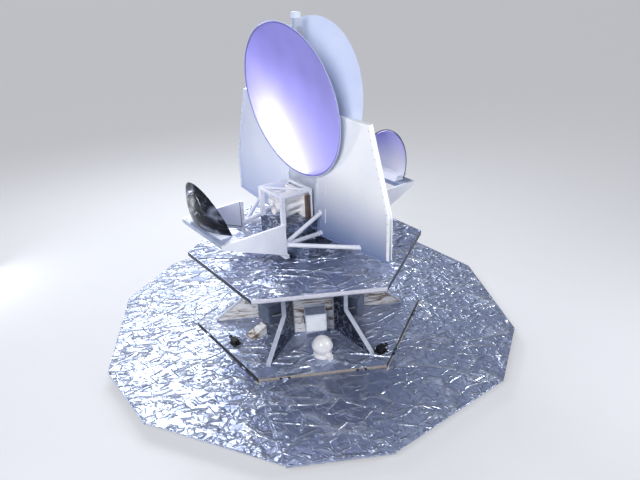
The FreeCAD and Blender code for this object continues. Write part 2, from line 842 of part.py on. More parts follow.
# Focal plane
def focal_frame():
    """Open frame over the horns on the +X side."""
    top = instrument_zero + frame_top
    b, p = frame_bar, frame_post
    x0, x1, hy = frame_inner_x, frame_outer_x, frame_half_y
    bars = [
        box(x0, x1, -hy, -hy + b, top - b, top),
        box(x0, x1, hy - b, hy, top - b, top),
        box(x0, x0 + b, -hy, hy, top - b, top),
        box(x1 - b, x1, -hy, hy, top - b, top),
        box(x1 - p, x1, -hy, -hy + p, core_top, top),
        box(x1 - p, x1, hy - p, hy, core_top, top),
        box(x0, x0 + b, -hy, -hy + b, core_top, top),
        box(x0, x0 + b, hy - b, hy, core_top, top),
    ]
    diagonal = tube(vec(x1 - b, hy - b, top - b / 2.0), vec(x0 + b, -hy + b, top - b / 2.0), b / 2.0)
    return fused(bars + [diagonal])


def horn():
    """A hollow horn along +X with a curved flare, a lip round its mouth and a flange at its throat."""
    middle = horn_throat + (horn_mouth - horn_throat) * horn_flare
    half = horn_length / 2.0
    outer = Part.Arc(vec(0, 0, horn_throat), vec(half, 0, middle), vec(horn_length, 0, horn_mouth))
    mouth = Part.makeLine(vec(horn_length, 0, horn_mouth), vec(horn_length, 0, horn_mouth - horn_wall))
    inner = Part.Arc(vec(horn_length, 0, horn_mouth - horn_wall), vec(half, 0, middle - horn_wall),
                     vec(0, 0, horn_throat - horn_wall))
    throat = Part.makeLine(vec(0, 0, horn_throat - horn_wall), vec(0, 0, horn_throat))
    section = Part.Face(Part.Wire([outer.toShape(), mouth, inner.toShape(), throat]))
    flare = section.revolve(vec(0, 0), vec(1, 0), 360)
    along = vec(1, 0)
    lip_start = vec(horn_length - horn_lip_thickness, 0)
    lip = Part.makeCylinder(horn_mouth + horn_lip, horn_lip_thickness, lip_start, along)
    lip = lip.cut(Part.makeCylinder(horn_mouth - horn_wall / 2.0, horn_length, vec(0, 0), along))
    flange = Part.makeCylinder(horn_throat + horn_flange, horn_flange, vec(0, 0), along)
    flange = flange.cut(Part.makeCylinder(horn_throat - horn_wall, horn_flange, vec(0, 0), along))
    return fused([flare, lip, flange])


def feed_horns():
    """Horns that look out to +X, on one mounting wall."""
    half = frame_half_y - frame_post
    inner = frame_inner_x + frame_bar
    front = inner + horn_wall_plate
    top = instrument_zero + frame_top - frame_bar - horn_plate_gap
    parts = [box(inner, front, -half, half, core_top, top)]
    flare = horn()
    for z, places in horn_rows:
        for y in places:
            copy = flare.copy()
            copy.translate(vec(front, y, instrument_zero + z))
            parts.append(copy)
    return fused(parts)


def receiver_box():
    """Tall narrow box beside the horns."""
    x0 = frame_inner_x + frame_bar
    y0 = -frame_half_y
    return box(x0, x0 + receiver_width, y0, y0 + receiver_depth, core_top, core_top + receiver_height)


os.makedirs("parts", exist_ok=True)
write("separation_ring", separation_ring())
write("lower_deck", lower_deck())
write("hub", hub())
write("radial_fins", radial_fins())
write("upper_deck", upper_deck())
for i in range(6):
    write("bay_box_%d" % (i + 1), turned(bay_box(), 60.0 * i))
write("propellant_tank", propellant_tank())
write("harness_wedge", harness_wedge())
write("thruster_pods", thruster_pods())
write("isolation_cylinder", isolation_cylinder())
write("base_frame", base_frame())
write("instrument_core", instrument_core())

plate = support_plate()
plates = Part.makeCompound([plate, mirrored_y(plate)])
bowl = primary()
for name, flip in (("b", lambda shape: shape), ("a", mirrored_x)):
    write("support_plates_" + name, flip(plates))
    write("crossbar_" + name, flip(crossbar()))
    write("primary_" + name, flip(bowl))
    write("primary_pads_" + name, flip(primary_pads(bowl)))
    write("secondary_" + name, flip(secondary()))
    write("secondary_cradle_" + name, flip(secondary_cradle()))
    write("focal_frame_" + name, flip(focal_frame()))
    write("feed_horns_" + name, flip(feed_horns()))
    write("receiver_box_" + name, flip(receiver_box()))

wing = radiator()
write("struts", struts([wing, mirrored_y(wing), plates, mirrored_x(plates)]))
write("radiator_right", wing)
write("radiator_left", mirrored_y(wing))
write("spine", spine())
write("top_antenna", top_antenna())

panel = shield_panel()
half_web = web_half()
for i in range(6):
    write("shield_panel_%d" % (i + 1), turned(panel, 60.0 * i))
    write("web_%dl" % (i + 1), turned(half_web, 60.0 * i))
    write("web_%dr" % (i + 1), turned(mirrored_y(half_web), 60.0 * i))
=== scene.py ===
"""Visual model of a space observatory satellite on its separation ring.

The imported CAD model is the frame. Film, fasteners, fittings and finishes are built round it, in metres.
"""

from __future__ import annotations

import logging
import math
from dataclasses import dataclass
from enum import Enum
from typing import Callable, Sequence, Union

import bmesh
import bpy
from mathutils import Matrix, Vector


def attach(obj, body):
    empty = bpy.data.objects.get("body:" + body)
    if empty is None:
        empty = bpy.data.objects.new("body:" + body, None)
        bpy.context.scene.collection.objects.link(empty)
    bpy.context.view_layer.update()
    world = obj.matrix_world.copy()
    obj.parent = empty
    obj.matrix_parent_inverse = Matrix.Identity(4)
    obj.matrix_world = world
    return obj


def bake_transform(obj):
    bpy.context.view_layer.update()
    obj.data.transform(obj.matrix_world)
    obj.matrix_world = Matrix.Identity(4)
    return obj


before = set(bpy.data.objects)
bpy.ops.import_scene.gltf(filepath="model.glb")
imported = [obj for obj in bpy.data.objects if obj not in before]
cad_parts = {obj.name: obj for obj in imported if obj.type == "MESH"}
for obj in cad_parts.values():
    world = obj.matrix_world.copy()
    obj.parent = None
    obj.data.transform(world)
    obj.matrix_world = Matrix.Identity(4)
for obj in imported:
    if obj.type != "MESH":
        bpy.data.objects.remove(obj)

LOG = logging.getLogger("satellite")
MM = 0.001
# Value of the ridged noise along the top of a crease line.
RIDGE_TOP = 1.18
Tree = bpy.types.NodeTree
Node = bpy.types.Node
Source = Union[bpy.types.Node, bpy.types.NodeSocket]
Sockets = tuple[dict, dict]
Piece = bpy.types.Object
Points = list[Vector]


def srgb(code: str) -> tuple[float, float, float, float]:
    """Turn an sRGB hex colour into linear values.

    Args:
        code: Six hex digits, such as "c0c4cc".

    Returns:
        Linear red, green and blue, and an alpha of 1.
    """
    parts = [int(code[i:i + 2], 16) / 255.0 for i in (0, 2, 4)]
    linear = [v / 12.92 if v <= 0.04045 else ((v + 0.055) / 1.055) ** 2.4 for v in parts]
    return linear[0], linear[1], linear[2], 1.0


def add(tree: Tree, kind: str, values: dict | None = None, links: dict | None = None,
        stops: Sequence[tuple[float, str]] = (), **settings: object) -> Node:
    """Add one node with its settings, socket values and links.

    Args:
        tree: Tree that the node goes into.
        kind: Node type.
        values: Socket name or index to constant.
        links: Socket name or index to the socket that feeds it, or to a node whose first output does.
        stops: Position and hex colour of each stop of a colour ramp.
        settings: Properties of the node.

    Returns:
        The new node.
    """
    node = tree.nodes.new(kind)
    for name, value in settings.items():
        setattr(node, name, value)
    for key, value in (values or {}).items():
        node.inputs[key].default_value = value
    for key, source in (links or {}).items():
        socket = source.outputs[0] if isinstance(source, Node) else source
        tree.links.new(socket, node.inputs[key])
    if stops:
        elements = node.color_ramp.elements
        while len(elements) < len(stops):
            elements.new(0.5)
        for element, (position, code) in zip(elements, stops):
            element.position = position
            element.color = srgb(code)
    return node


class Relief(Enum):
    """How a film or blanket is creased: the stretch of its pattern along X, Y and Z."""

    LOOSE = (1.0, 1.0, 1.0)
    FOLDED = (0.5, 0.5, 1.9)
    TIGHT = (1.2, 1.2, 1.2)


@dataclass(frozen=True)
class Finish:
    """A finish with a name of its own that makes its material once."""

    name: str

    def material(self) -> bpy.types.Material:
        """Give the finish's material, made the first time that it is asked for.

        Returns:
            The material.
        """
        found = bpy.data.materials.get(self.name)
        if found is None:
            found = bpy.data.materials.new(self.name)
            found.use_nodes = True
            tree = found.node_tree
            tree.nodes.clear()
            shader = add(tree, "ShaderNodeBsdfPrincipled", *self.build(tree))
            add(tree, "ShaderNodeOutputMaterial", None, {"Surface": shader})
        return found

    def build(self, tree: Tree) -> Sockets:
        """Fill the node tree of the material up to its shader.

        Args:
            tree: Tree of the material.

        Returns:
            Constants and links of the shader's sockets.
        """
        raise NotImplementedError


def coat(tree: Tree, values: dict, colour: Source, bump: tuple[Source, float, float],
         rough: tuple[Source, float, float]) -> Sockets:
    """Add a bump and a roughness that drifts to a material.

    Args:
        tree: Tree of the material.
        values: Constants of the shader's sockets.
        colour: Base colour.
        bump: Height, strength of the bump and its depth in millimetres.
        rough: What drives the roughness, and the roughness at its low and high end.

    Returns:
        Constants and links of the shader's sockets.
    """
    height, strength, depth_mm = bump
    normal = add(tree, "ShaderNodeBump", {"Strength": strength, "Distance": depth_mm * MM},
                 {"Height": height})
    drift = add(tree, "ShaderNodeMapRange", {"To Min": rough[1], "To Max": rough[2]}, {"Value": rough[0]})
    return values, {"Base Color": colour, "Roughness": drift, "Normal": normal}


@dataclass(frozen=True)
class Ridges:
    """One family of thin broken crease lines about one unit apart.

    It holds how much finer than one unit the lines are, their direction in degrees about Z, how much
    longer than wide their bends are, the share of the noise's range in a line's flanks, and their weight.
    """

    fine: float
    turn: float
    long: float
    flank: float
    weight: float

    def lines(self, tree: Tree, place: Source) -> Node:
        """Draw the lines.

        Args:
            tree: Tree that the nodes go into.
            place: Coordinates with the spacing of the widest lines as unit.

        Returns:
            The node that gives the ridge height from 0 to 1.
        """
        finer = add(tree, "ShaderNodeVectorMath", {"Scale": self.fine}, {0: place}, operation="SCALE")
        turned = add(tree, "ShaderNodeVectorRotate", {"Angle": math.radians(self.turn)}, {"Vector": finer},
                     rotation_type="Z_AXIS")
        drawn = add(tree, "ShaderNodeVectorMath", {1: (1.0 / self.long, 1.0, 1.0)}, {0: turned},
                    operation="MULTIPLY")
        noise = {"Scale": 0.9, "Detail": 1.0, "Roughness": 0.2, "Offset": 1.0, "Gain": 1.0,
                 "Distortion": 0.25}
        ridge = add(tree, "ShaderNodeTexNoise", noise, {"Vector": drawn}, noise_type="RIDGED_MULTIFRACTAL",
                    normalize=False)
        line = add(tree, "ShaderNodeMapRange", {"From Min": RIDGE_TOP - self.flank, "From Max": RIDGE_TOP},
                   {"Value": ridge})
        part = add(tree, "ShaderNodeTexNoise", {"Scale": 0.75, "Detail": 2.0}, {"Vector": turned})
        kept = add(tree, "ShaderNodeMapRange", {"From Min": 0.42, "From Max": 0.53}, {"Value": part},
                   interpolation_type="SMOOTHSTEP")
        return add(tree, "ShaderNodeMath", None, {0: line, 1: kept}, operation="MULTIPLY")


FILM_RIDGES = (Ridges(1.0, 44.0, 3.2, 0.46, 1.0), Ridges(1.6, 4.0, 2.6, 0.44, 0.7),
               Ridges(2.9, 82.0, 2.2, 0.4, 0.3))
SHEET_RIDGES = (Ridges(1.0, 44.0, 3.2, 0.5, 0.9), Ridges(1.0, 2.0, 2.6, 0.5, 0.6))


def creased(tree: Tree, place: Source, families: Sequence[Ridges], swell: Source, weight: float) -> Node:
    """Add families of crease lines and a soft swell up to one height.

    Args:
        tree: Tree that the nodes go into.
        place: Coordinates with the spacing of the widest lines as unit.
        families: Crease lines, each with its weight.
        swell: Soft height between the lines.
        weight: Weight of the swell.

    Returns:
        The node that gives the height.
    """
    parts = [(family.lines(tree, place), family.weight) for family in families] + [(swell, weight)]
    total = None
    for value, share in parts:
        links = {0: value} if total is None else {0: value, 2: total}
        total = add(tree, "ShaderNodeMath", {1: share, 2: 0.0}, links, operation="MULTIPLY_ADD")
    return total


@dataclass(frozen=True)
class CrinkledFilm(Finish):
    """Metallised polyimide film over foam or blanket: thin, bright and creased.

    The eye sees sharp broken crease lines that catch the lamps, and soft facets between them; the colour
    also paints light and shade along the crease height.
    """

    # Colours at low, middle and high crease height, which paint light and shade onto the creases.
    dark: str
    middle: str
    bright: str
    crease_mm: float = 190.0
    depth_mm: float = 19.0
    roughness: float = 0.32
    metallic: float = 0.9
    relief: Relief = Relief.LOOSE

    def build(self, tree: Tree) -> Sockets:
        """Build crease lines in three directions, facets and their bump.

        Args:
            tree: Tree of the material.

        Returns:
            Constants and links of the shader's sockets.
        """
        stretched = add(tree, "ShaderNodeMapping", {"Scale": self.relief.value},
                        {"Vector": add(tree, "ShaderNodeTexCoord").outputs["Object"]})
        place = add(tree, "ShaderNodeVectorMath", {"Scale": 1000.0 / self.crease_mm}, {0: stretched},
                    operation="SCALE")
        facets = add(tree, "ShaderNodeTexNoise", {"Scale": 1.3, "Detail": 4.0, "Roughness": 0.5},
                     {"Vector": place})
        height = creased(tree, place, FILM_RIDGES, facets, 0.8)
        depth = add(tree, "ShaderNodeMath", {1: 0.6}, {0: height}, operation="MULTIPLY")
        # Painted light: the colour follows the crease height, so the crease tops carry a painted highlight
        # (a brown painted shade on the warm blanket).
        colour = add(tree, "ShaderNodeValToRGB", None, {"Fac": depth},
                     [(0.2, self.dark), (0.36, self.middle), (0.8, self.bright)])
        fine = add(tree, "ShaderNodeTexNoise", {"Scale": 7.0, "Detail": 2.0}, {"Vector": place})
        return coat(tree, {"Metallic": self.metallic}, colour, (height, 1.0, self.depth_mm),
                    (fine, self.roughness * 0.8, self.roughness * 1.2))


@dataclass(frozen=True)
class PaintedLightFade:
    """Painted light: a drift of a finish's colour between two heights in metres, as painted shade towards
    the radiators' foot and a painted highlight on the mirrors: colour and share at the lower one.
    """

    low: float
    high: float
    code: str
    share: float = 1.0

    def over(self, tree: Tree, colour: Source) -> bpy.types.NodeSocket:
        """Mix the lower colour over another.

        Args:
            tree: Tree of the material.
            colour: Colour that it goes over.

        Returns:
            The mixed colour.
        """
        place = add(tree, "ShaderNodeTexCoord").outputs["Object"]
        parts = add(tree, "ShaderNodeSeparateXYZ", None, {0: place})
        amount = add(tree, "ShaderNodeMapRange",
                     {"From Min": self.low, "From Max": self.high, "To Min": self.share, "To Max": 0.0},
                     {"Value": parts.outputs["Z"]}, interpolation_type="SMOOTHSTEP")
        mixed = add(tree, "ShaderNodeMix", {7: srgb(self.code)}, {0: amount, 6: colour}, data_type="RGBA")
        return mixed.outputs[2]


@dataclass(frozen=True)
class PaintedRimHighlight:
    """A rim on a radiator kept in a light colour as a painted highlight of its lit edge: its colour, past
    these distances from the middle along X, Y and Z.
    """

    code: str
    past_mm: tuple[float, float, float] = (13.5, 1000.0, 1500.0)

    def over(self, tree: Tree, colour: Source) -> bpy.types.NodeSocket:
        """Lay the rim's colour over another.

        Args:
            tree: Tree of the material.
            colour: Colour that it goes over.

        Returns:
            The mixed colour.
        """
        place = add(tree, "ShaderNodeTexCoord").outputs["Object"]
        parts = add(tree, "ShaderNodeSeparateXYZ", None, {0: place})
        inside = None
        for axis, limit in enumerate(self.past_mm):
            reach = add(tree, "ShaderNodeMath", None, {0: parts.outputs[axis]}, operation="ABSOLUTE")
            past = add(tree, "ShaderNodeMath", {1: limit * MM}, {0: reach}, operation="GREATER_THAN")
            if inside is None:
                inside = past
            else:
                inside = add(tree, "ShaderNodeMath", None, {0: inside, 1: past}, operation="MULTIPLY")
        mixed = add(tree, "ShaderNodeMix", {7: srgb(self.code)}, {0: inside, 6: colour}, data_type="RGBA")
        return mixed.outputs[2]


@dataclass(frozen=True)
class ThermalPaint(Finish):
    """Sprayed thermal paint: satin, faintly mottled, with a fine orange-peel surface.

    The peel of the real coat is 1 to 2 mm wide. It is drawn coarser so that it shows.
    """

    light: str
    shade: str
    roughness: float = 0.42
    mottle_mm: float = 220.0
    peel_mm: float = 5.0
    # Layers of painted light over the mottle: painted shade drifts and painted rim highlights.
    layers: tuple[PaintedLightFade | PaintedRimHighlight, ...] = ()

    def build(self, tree: Tree) -> Sockets:
        """Build the mottle, the layers of painted light over it and the orange peel.

        Args:
            tree: Tree of the material.

        Returns:
            Constants and links of the shader's sockets.
        """
        place = add(tree, "ShaderNodeTexCoord").outputs["Object"]
        cloud = add(tree, "ShaderNodeTexNoise", {"Scale": 1000.0 / self.mottle_mm, "Detail": 4.0},
                    {"Vector": place})
        colour = add(tree, "ShaderNodeValToRGB", None, {"Fac": cloud},
                     [(0.35, self.shade), (0.65, self.light)])
        for layer in self.layers:
            colour = layer.over(tree, colour)
        peel = add(tree, "ShaderNodeTexNoise", {"Scale": 1000.0 / self.peel_mm, "Detail": 1.0},
                   {"Vector": place})
        return coat(tree, {}, colour, (peel, 0.25, 0.2), (cloud, self.roughness * 0.9, self.roughness * 1.1))


@dataclass(frozen=True)
class MirrorCoating(Finish):
    """Evaporated metal under a thin oxide coat on a moulded shell: smooth, bright and tinted."""

    near: str
    far: str
    fade: PaintedLightFade
    roughness: float = 0.33
    metallic: float = 0.45
    cell_mm: float = 34.0

    def build(self, tree: Tree) -> Sockets:
        """Build the tint's drift, the painted highlight laid over it and the faint print of the core's
        cells.

        Args:
            tree: Tree of the material.

        Returns:
            Constants and links of the shader's sockets.
        """
        place = add(tree, "ShaderNodeTexCoord").outputs["Object"]
        drift = add(tree, "ShaderNodeTexNoise", {"Scale": 1.3, "Detail": 2.0}, {"Vector": place})
        colour = add(tree, "ShaderNodeValToRGB", None, {"Fac": drift}, [(0.3, self.far), (0.7, self.near)])
        cells = add(tree, "ShaderNodeTexVoronoi", {"Scale": 1000.0 / self.cell_mm, "Randomness": 0.1},
                    {"Vector": place}, feature="F1")
        grain = add(tree, "ShaderNodeTexNoise", {"Scale": 260.0, "Detail": 2.0}, {"Vector": place})
        # The fade is a painted highlight, paler towards the lower edge.
        return coat(tree, {"Metallic": self.metallic, "Coat Weight": 1.0, "Coat Roughness": 0.16},
                    self.fade.over(tree, colour), (cells, 0.12, 0.15),
                    (grain, self.roughness * 0.92, self.roughness * 1.08))


@dataclass(frozen=True)
class MachinedAlloy(Finish):
    """Turned or milled alloy or steel, left bare: bright, with fine tool lines.

    Real tool lines are about 0.2 mm apart. They are drawn coarser so that they show.
    """

    light: str
    shade: str
    roughness: float = 0.34
    line_mm: float = 1.6
    metallic: float = 1.0

    def build(self, tree: Tree) -> Sockets:
        """Build tool lines that run level round the piece.

        Args:
            tree: Tree of the material.

        Returns:
            Constants and links of the shader's sockets.
        """
        place = add(tree, "ShaderNodeTexCoord").outputs["Object"]
        level = add(tree, "ShaderNodeMapping", {"Scale": (0.12, 0.12, 1.0)}, {"Vector": place})
        lines = add(tree, "ShaderNodeTexNoise", {"Scale": 1000.0 / self.line_mm, "Detail": 3.0},
                    {"Vector": level})
        cloud = add(tree, "ShaderNodeTexNoise", {"Scale": 9.0, "Detail": 3.0}, {"Vector": place})
        colour = add(tree, "ShaderNodeValToRGB", None, {"Fac": cloud},
                     [(0.3, self.shade), (0.7, self.light)])
        return coat(tree, {"Metallic": self.metallic}, colour, (lines, 0.3, 0.15),
                    (lines, self.roughness * 0.8, self.roughness * 1.25))


@dataclass(frozen=True)
class SolarCell(Finish):
    """Germanium solar cell under cover glass: near black with a blue cast and fine silver fingers.

    Real fingers are about 1 mm apart. They are drawn coarser so that they show.
    """

    glass: str
    cast: str
    finger: str
    finger_mm: float = 3.2

    def build(self, tree: Tree) -> Sockets:
        """Build the fingers and the cast.

        Args:
            tree: Tree of the material.

        Returns:
            Constants and links of the shader's sockets.
        """
        place = add(tree, "ShaderNodeTexCoord").outputs["Object"]
        cloud = add(tree, "ShaderNodeTexNoise", {"Scale": 14.0, "Detail": 1.0}, {"Vector": place})
        glass = add(tree, "ShaderNodeValToRGB", None, {"Fac": cloud},
                    [(0.35, self.glass), (0.65, self.cast)])
        wave = add(tree, "ShaderNodeTexWave", {"Scale": 500.0 / self.finger_mm}, {"Vector": place},
                   wave_type="BANDS", bands_direction="DIAGONAL")
        lines = add(tree, "ShaderNodeMapRange", {"From Min": 0.93, "From Max": 0.99},
                    {"Value": wave.outputs["Fac"]})
        colour = add(tree, "ShaderNodeMix", {7: srgb(self.finger)}, {0: lines, 6: glass}, data_type="RGBA")
        return ({"Roughness": 0.16, "Metallic": 0.1, "Coat Weight": 0.6, "Coat Roughness": 0.06},
                {"Base Color": colour.outputs[2]})


@dataclass(frozen=True)
class PerforatedCase(Finish):
    """Brown hard-anodised case whose face is drilled with a close grid of vent holes."""

    skin: str
    shade: str
    hole: str
    pitch_mm: float = 18.0
    hole_mm: float = 5.2

    def build(self, tree: Tree) -> Sockets:
        """Build the holes and their edges.

        Args:
            tree: Tree of the material.

        Returns:
            Constants and links of the shader's sockets.
        """
        place = add(tree, "ShaderNodeTexCoord").outputs["Object"]
        cells = add(tree, "ShaderNodeTexVoronoi", {"Scale": 1000.0 / self.pitch_mm, "Randomness": 0.0},
                    {"Vector": place}, feature="F1")
        edge = self.hole_mm / self.pitch_mm
        mask = add(tree, "ShaderNodeMapRange",
                   {"From Min": edge, "From Max": edge * 1.25, "To Min": 1.0, "To Max": 0.0},
                   {"Value": cells})
        cloud = add(tree, "ShaderNodeTexNoise", {"Scale": 40.0, "Detail": 3.0}, {"Vector": place})
        skin = add(tree, "ShaderNodeValToRGB", None, {"Fac": cloud}, [(0.3, self.shade), (0.7, self.skin)])
        # The holes' dark colour is painted shade inside them.
        colour = add(tree, "ShaderNodeMix", {7: srgb(self.hole)}, {0: mask, 6: skin}, data_type="RGBA")
        bump = add(tree, "ShaderNodeBump", {"Strength": 0.9, "Distance": 1.5 * MM}, {"Height": mask},
                   invert=True)
        return {"Roughness": 0.46, "Metallic": 0.35}, {"Base Color": colour.outputs[2], "Normal": bump}


@dataclass(frozen=True)
class FlatCoat(Finish):
    """Sprayed or moulded coat with a little grain: matt black, cable jacket, connector shell or tape."""

    light: str
    shade: str
    roughness: float = 0.45
    metallic: float = 0.0
    grain_mm: float = 3.0

    def build(self, tree: Tree) -> Sockets:
        """Build the grain.

        Args:
            tree: Tree of the material.

        Returns:
            Constants and links of the shader's sockets.
        """
        grain = add(tree, "ShaderNodeTexNoise", {"Scale": 1000.0 / self.grain_mm, "Detail": 3.0},
                    {"Vector": add(tree, "ShaderNodeTexCoord").outputs["Object"]})
        colour = add(tree, "ShaderNodeValToRGB", None, {"Fac": grain},
                     [(0.3, self.shade), (0.7, self.light)])
        return coat(tree, {"Metallic": self.metallic}, colour, (grain, 0.4, 0.3),
                    (grain, self.roughness * 0.9, self.roughness * 1.1))


@dataclass(frozen=True)
class StudioFloor(Finish):
    """Plain pale studio floor, a little brighter to the eye and in reflections, that keeps its shadows."""

    light: str
    shade: str
    glow: float = 0.42

    def build(self, tree: Tree) -> Sockets:
        """Build a matte floor with hardly any grain.

        Args:
            tree: Tree of the material.

        Returns:
            Constants and links of the shader's sockets.
        """
        grain = add(tree, "ShaderNodeTexNoise", {"Scale": 3.0, "Detail": 2.0},
                    {"Vector": add(tree, "ShaderNodeTexCoord").outputs["Object"]})
        colour = add(tree, "ShaderNodeValToRGB", None, {"Fac": grain},
                     [(0.0, self.shade), (1.0, self.light)])
        rays = add(tree, "ShaderNodeLightPath").outputs
        either = add(tree, "ShaderNodeMath", None, {0: rays["Is Camera Ray"], 1: rays["Is Glossy Ray"]},
                     operation="MAXIMUM")
        every = add(tree, "ShaderNodeMath", None, {0: either, 1: rays["Is Transmission Ray"]},
                    operation="MAXIMUM")
        glow = add(tree, "ShaderNodeMath", {1: self.glow}, {0: every}, operation="MULTIPLY")
        return ({"Roughness": 0.85, "Emission Color": srgb("ffffff")},
                {"Base Color": colour, "Emission Strength": glow})


# Silver film: cool blue-grey facets with crease lines painted bright as a painted highlight.
SHIELD_FILM = CrinkledFilm("crinkled_shield_film", "9da7c2", "afb9d2", "d0d8ea", metallic=0.82)
DECK_FILM = CrinkledFilm("crinkled_deck_film", "939ebb", "a6b0cc", "c9d1e5", crease_mm=220.0, depth_mm=36.0,
                         metallic=0.74)
# The lower deck's copy is a little lighter, as painted light against the upper deck's shade over it.
FLOOR_FILM = CrinkledFilm("crinkled_lower_deck_film", "a0abc7", "b2bcd6", "d2daec", depth_mm=30.0,
                          roughness=0.38, metallic=0.66)
# Dark film: near black, with painted glints on its creases; on the fins it is painted shade in place of the
# warm blanket that they wear.
SHADED_FIN_FILM = CrinkledFilm("dark_fin_film", "3d4250", "555b6b", "a3adc2", crease_mm=80.0, depth_mm=6.0,
                        relief=Relief.TIGHT)
DOME_FILM = CrinkledFilm("dark_dome_film", "1b1d25", "343845", "8b93a6", crease_mm=260.0, depth_mm=8.0,
                         roughness=0.34, relief=Relief.TIGHT)
# Warm blanket: white with crease lines painted brown as painted shade, hardly metallic.
HUB_BLANKET = CrinkledFilm("warm_hub_blanket", "ffffff", "f6f2ef", "8a7565", crease_mm=90.0, depth_mm=9.0,
                           roughness=0.42, metallic=0.1, relief=Relief.FOLDED)
# Grey blanket and tape: dull silver with small creases, painted lighter on their tops as a painted
# highlight.
CORE_BLANKET = CrinkledFilm("grey_core_blanket", "5f6778", "828b9f", "b7bfcf", crease_mm=90.0, depth_mm=4.0,
                            roughness=0.34, relief=Relief.TIGHT)
EDGE_TAPE = CrinkledFilm("aluminised_edge_tape", "98a2bc", "aab4cf", "cfd7e8", crease_mm=40.0, depth_mm=1.0,
                         roughness=0.34, relief=Relief.TIGHT)
# Radiator paint: white, with painted shade that turns it bluer towards the foot and a rim kept white as a
# painted highlight; the two radiators carry differently lit copies of it.
RADIATOR_PAINT = ThermalPaint("radiator_thermal_paint", "fdfeff", "f4f7fd", 0.36, 500.0,
                              layers=(PaintedLightFade(1.35, 2.3, "7585ae"), PaintedRimHighlight("fdfeff")))
LEFT_RADIATOR_PAINT = ThermalPaint("left_radiator_thermal_paint", "e3e9fa", "dbe2f6", 0.36, 500.0,
                                   layers=(PaintedLightFade(1.4, 2.2, "bac6e8"), PaintedRimHighlight("e3e9fa")))
# Paints of frames, plates, shells and boxes: satin and hardly mottled; the tank's is glossy. The slate box
# paint is painted shade on the boxes on the shaded side, and the pale lid paint is painted light on the lids
# of the others.
FRAME_PAINT = ThermalPaint("white_frame_paint", "eef0f8", "dfe3ef")
SUPPORT_PAINT = ThermalPaint("support_panel_paint", "f4f7ff", "ebeffb", 0.5)
SHELF_PAINT = ThermalPaint("blue_grey_shelf_paint", "a9b6cf", "93a1bd")
SPINE_PAINT = ThermalPaint("spine_paint", "c3cad8", "aeb6c8")
DISH_BACK_PAINT = ThermalPaint("dish_back_paint", "d8e0f6", "ccd6f1", 0.4, 600.0)
TANK_SHELL = ThermalPaint("gloss_tank_shell", "fbfbfc", "ecebec", 0.2, 90.0)
BOX_PAINT = ThermalPaint("pale_box_paint", "dde4f2", "cbd4e6", 0.45, 120.0)
SHADED_BOX_PAINT = ThermalPaint("slate_box_paint", "707a90", "5d667b", 0.45, 60.0)
LIT_BOX_LID_PAINT = ThermalPaint("pale_box_lid_paint", "fafcff", "eef3fb", 0.36, 90.0)
# Grey and tan coats of lids, caps and edges, which set pieces apart. They paint light too: the slate covers
# are painted shade on the box tops, the pale fin caps a painted highlight of the fins' lit edges, and the
# pale deck edge and tan rail the lit copies of the dark deck tapes.
SLATE_PAINT = ThermalPaint("slate_cover_paint", "8d97ab", "747e92", 0.45, 60.0)
FIN_CAP = ThermalPaint("fin_cap_paint", "c6ccda", "b4bbcb", 0.45, 60.0)
DECK_EDGE = ThermalPaint("pale_deck_edge_tape", "dfdfea", "d0d0dd", 0.38, 40.0)
RAIL_EDGE = ThermalPaint("tan_deck_rail", "c2b8b2", "aea49e", 0.42, 40.0)
# Dark tapes, matt black and cable parts: little shine, with a grain; the dark deck tape is also painted
# shade, on the unlit deck edges and rails and as the wedge plates' gap strips.
DARK_EDGE = FlatCoat("dark_deck_edge_tape", "3d4150", "2a2d39", metallic=0.3)
SEAM_TAPE = FlatCoat("dark_seam_tape", "3a4050", "262b38", metallic=0.3)
THRUSTER_BLACK = FlatCoat("black_thruster_coat", "1b1b20", "08080a", 0.55)
CABLE_JACKET = FlatCoat("cable_jacket", "c9cbd0", "a9abb2", 0.5, grain_mm=6.0)
CONNECTOR_SHELL = FlatCoat("connector_shell", "8e8c84", "6e6c66", 0.35, metallic=0.8)
# Mirror coatings: violet, and paler towards the lower edge as a painted highlight.
MIRROR = MirrorCoating("violet_mirror_coating", "8680e2", "655fbe", PaintedLightFade(2.1, 3.6, "9a95f0", 0.8))
SMALL_MIRROR = MirrorCoating("violet_mirror_coating_small", "b4b0f4", "a8a2ee", PaintedLightFade(1.85, 2.25, "f4f3fe"),
                             roughness=0.34, metallic=0.25)
# Bare alloys and steel: pale and bright; the thruster tubes are dark.
RING_ALLOY = MachinedAlloy("turned_ring_alloy", "d3d6db", "a9adb5")
BRACKET_ALLOY = MachinedAlloy("milled_bracket_alloy", "c9ccd3", "9fa4ae", 0.38)
HORN_ALLOY = MachinedAlloy("bright_horn_alloy", "ffffff", "f2f0ee", 0.36, metallic=0.1)
FASTENER_STEEL = MachinedAlloy("fastener_steel", "b9bcc3", "8b9099", 0.3, line_mm=0.8)
NOZZLE_ALLOY = MachinedAlloy("dark_nozzle_alloy", "4d4a50", "2b2930", 0.4)
# Cells, drilled case and floor: as their classes say.
CELL_GLASS = SolarCell("solar_cell_glass", "141c3c", "24336a", "8d93a4")
CASE_BROWN = PerforatedCase("drilled_receiver_case", "8a7468", "6f5b51", "1c1614")
STUDIO_FLOOR = StudioFloor("pale_studio_floor", "9da0a8", "999ca4")


# Heights and the deck's radius in the CAD model, in metres.
SHIELD_TOP = 0.140
DECK_LOW = 0.100
DECK_TOP = 0.160
UPPER_LOW = 1.125
UPPER_TOP = 1.180
CORE_LOW = 1.372
CORE_TOP = 1.602
LOWER_RADIUS = 1.439
CORNER_COS = math.cos(math.radians(30.0))
CORNER_SIN = 0.5
# Gap between the lower edge of a film's skirt and the face below it.
SKIRT_GAP = 0.0002
BUS = "bus"
UP = Vector((0.0, 0.0, 1.0))
SIGNS = (-1.0, 1.0)
QUARTERS = tuple((sx, sy) for sx in SIGNS for sy in SIGNS)


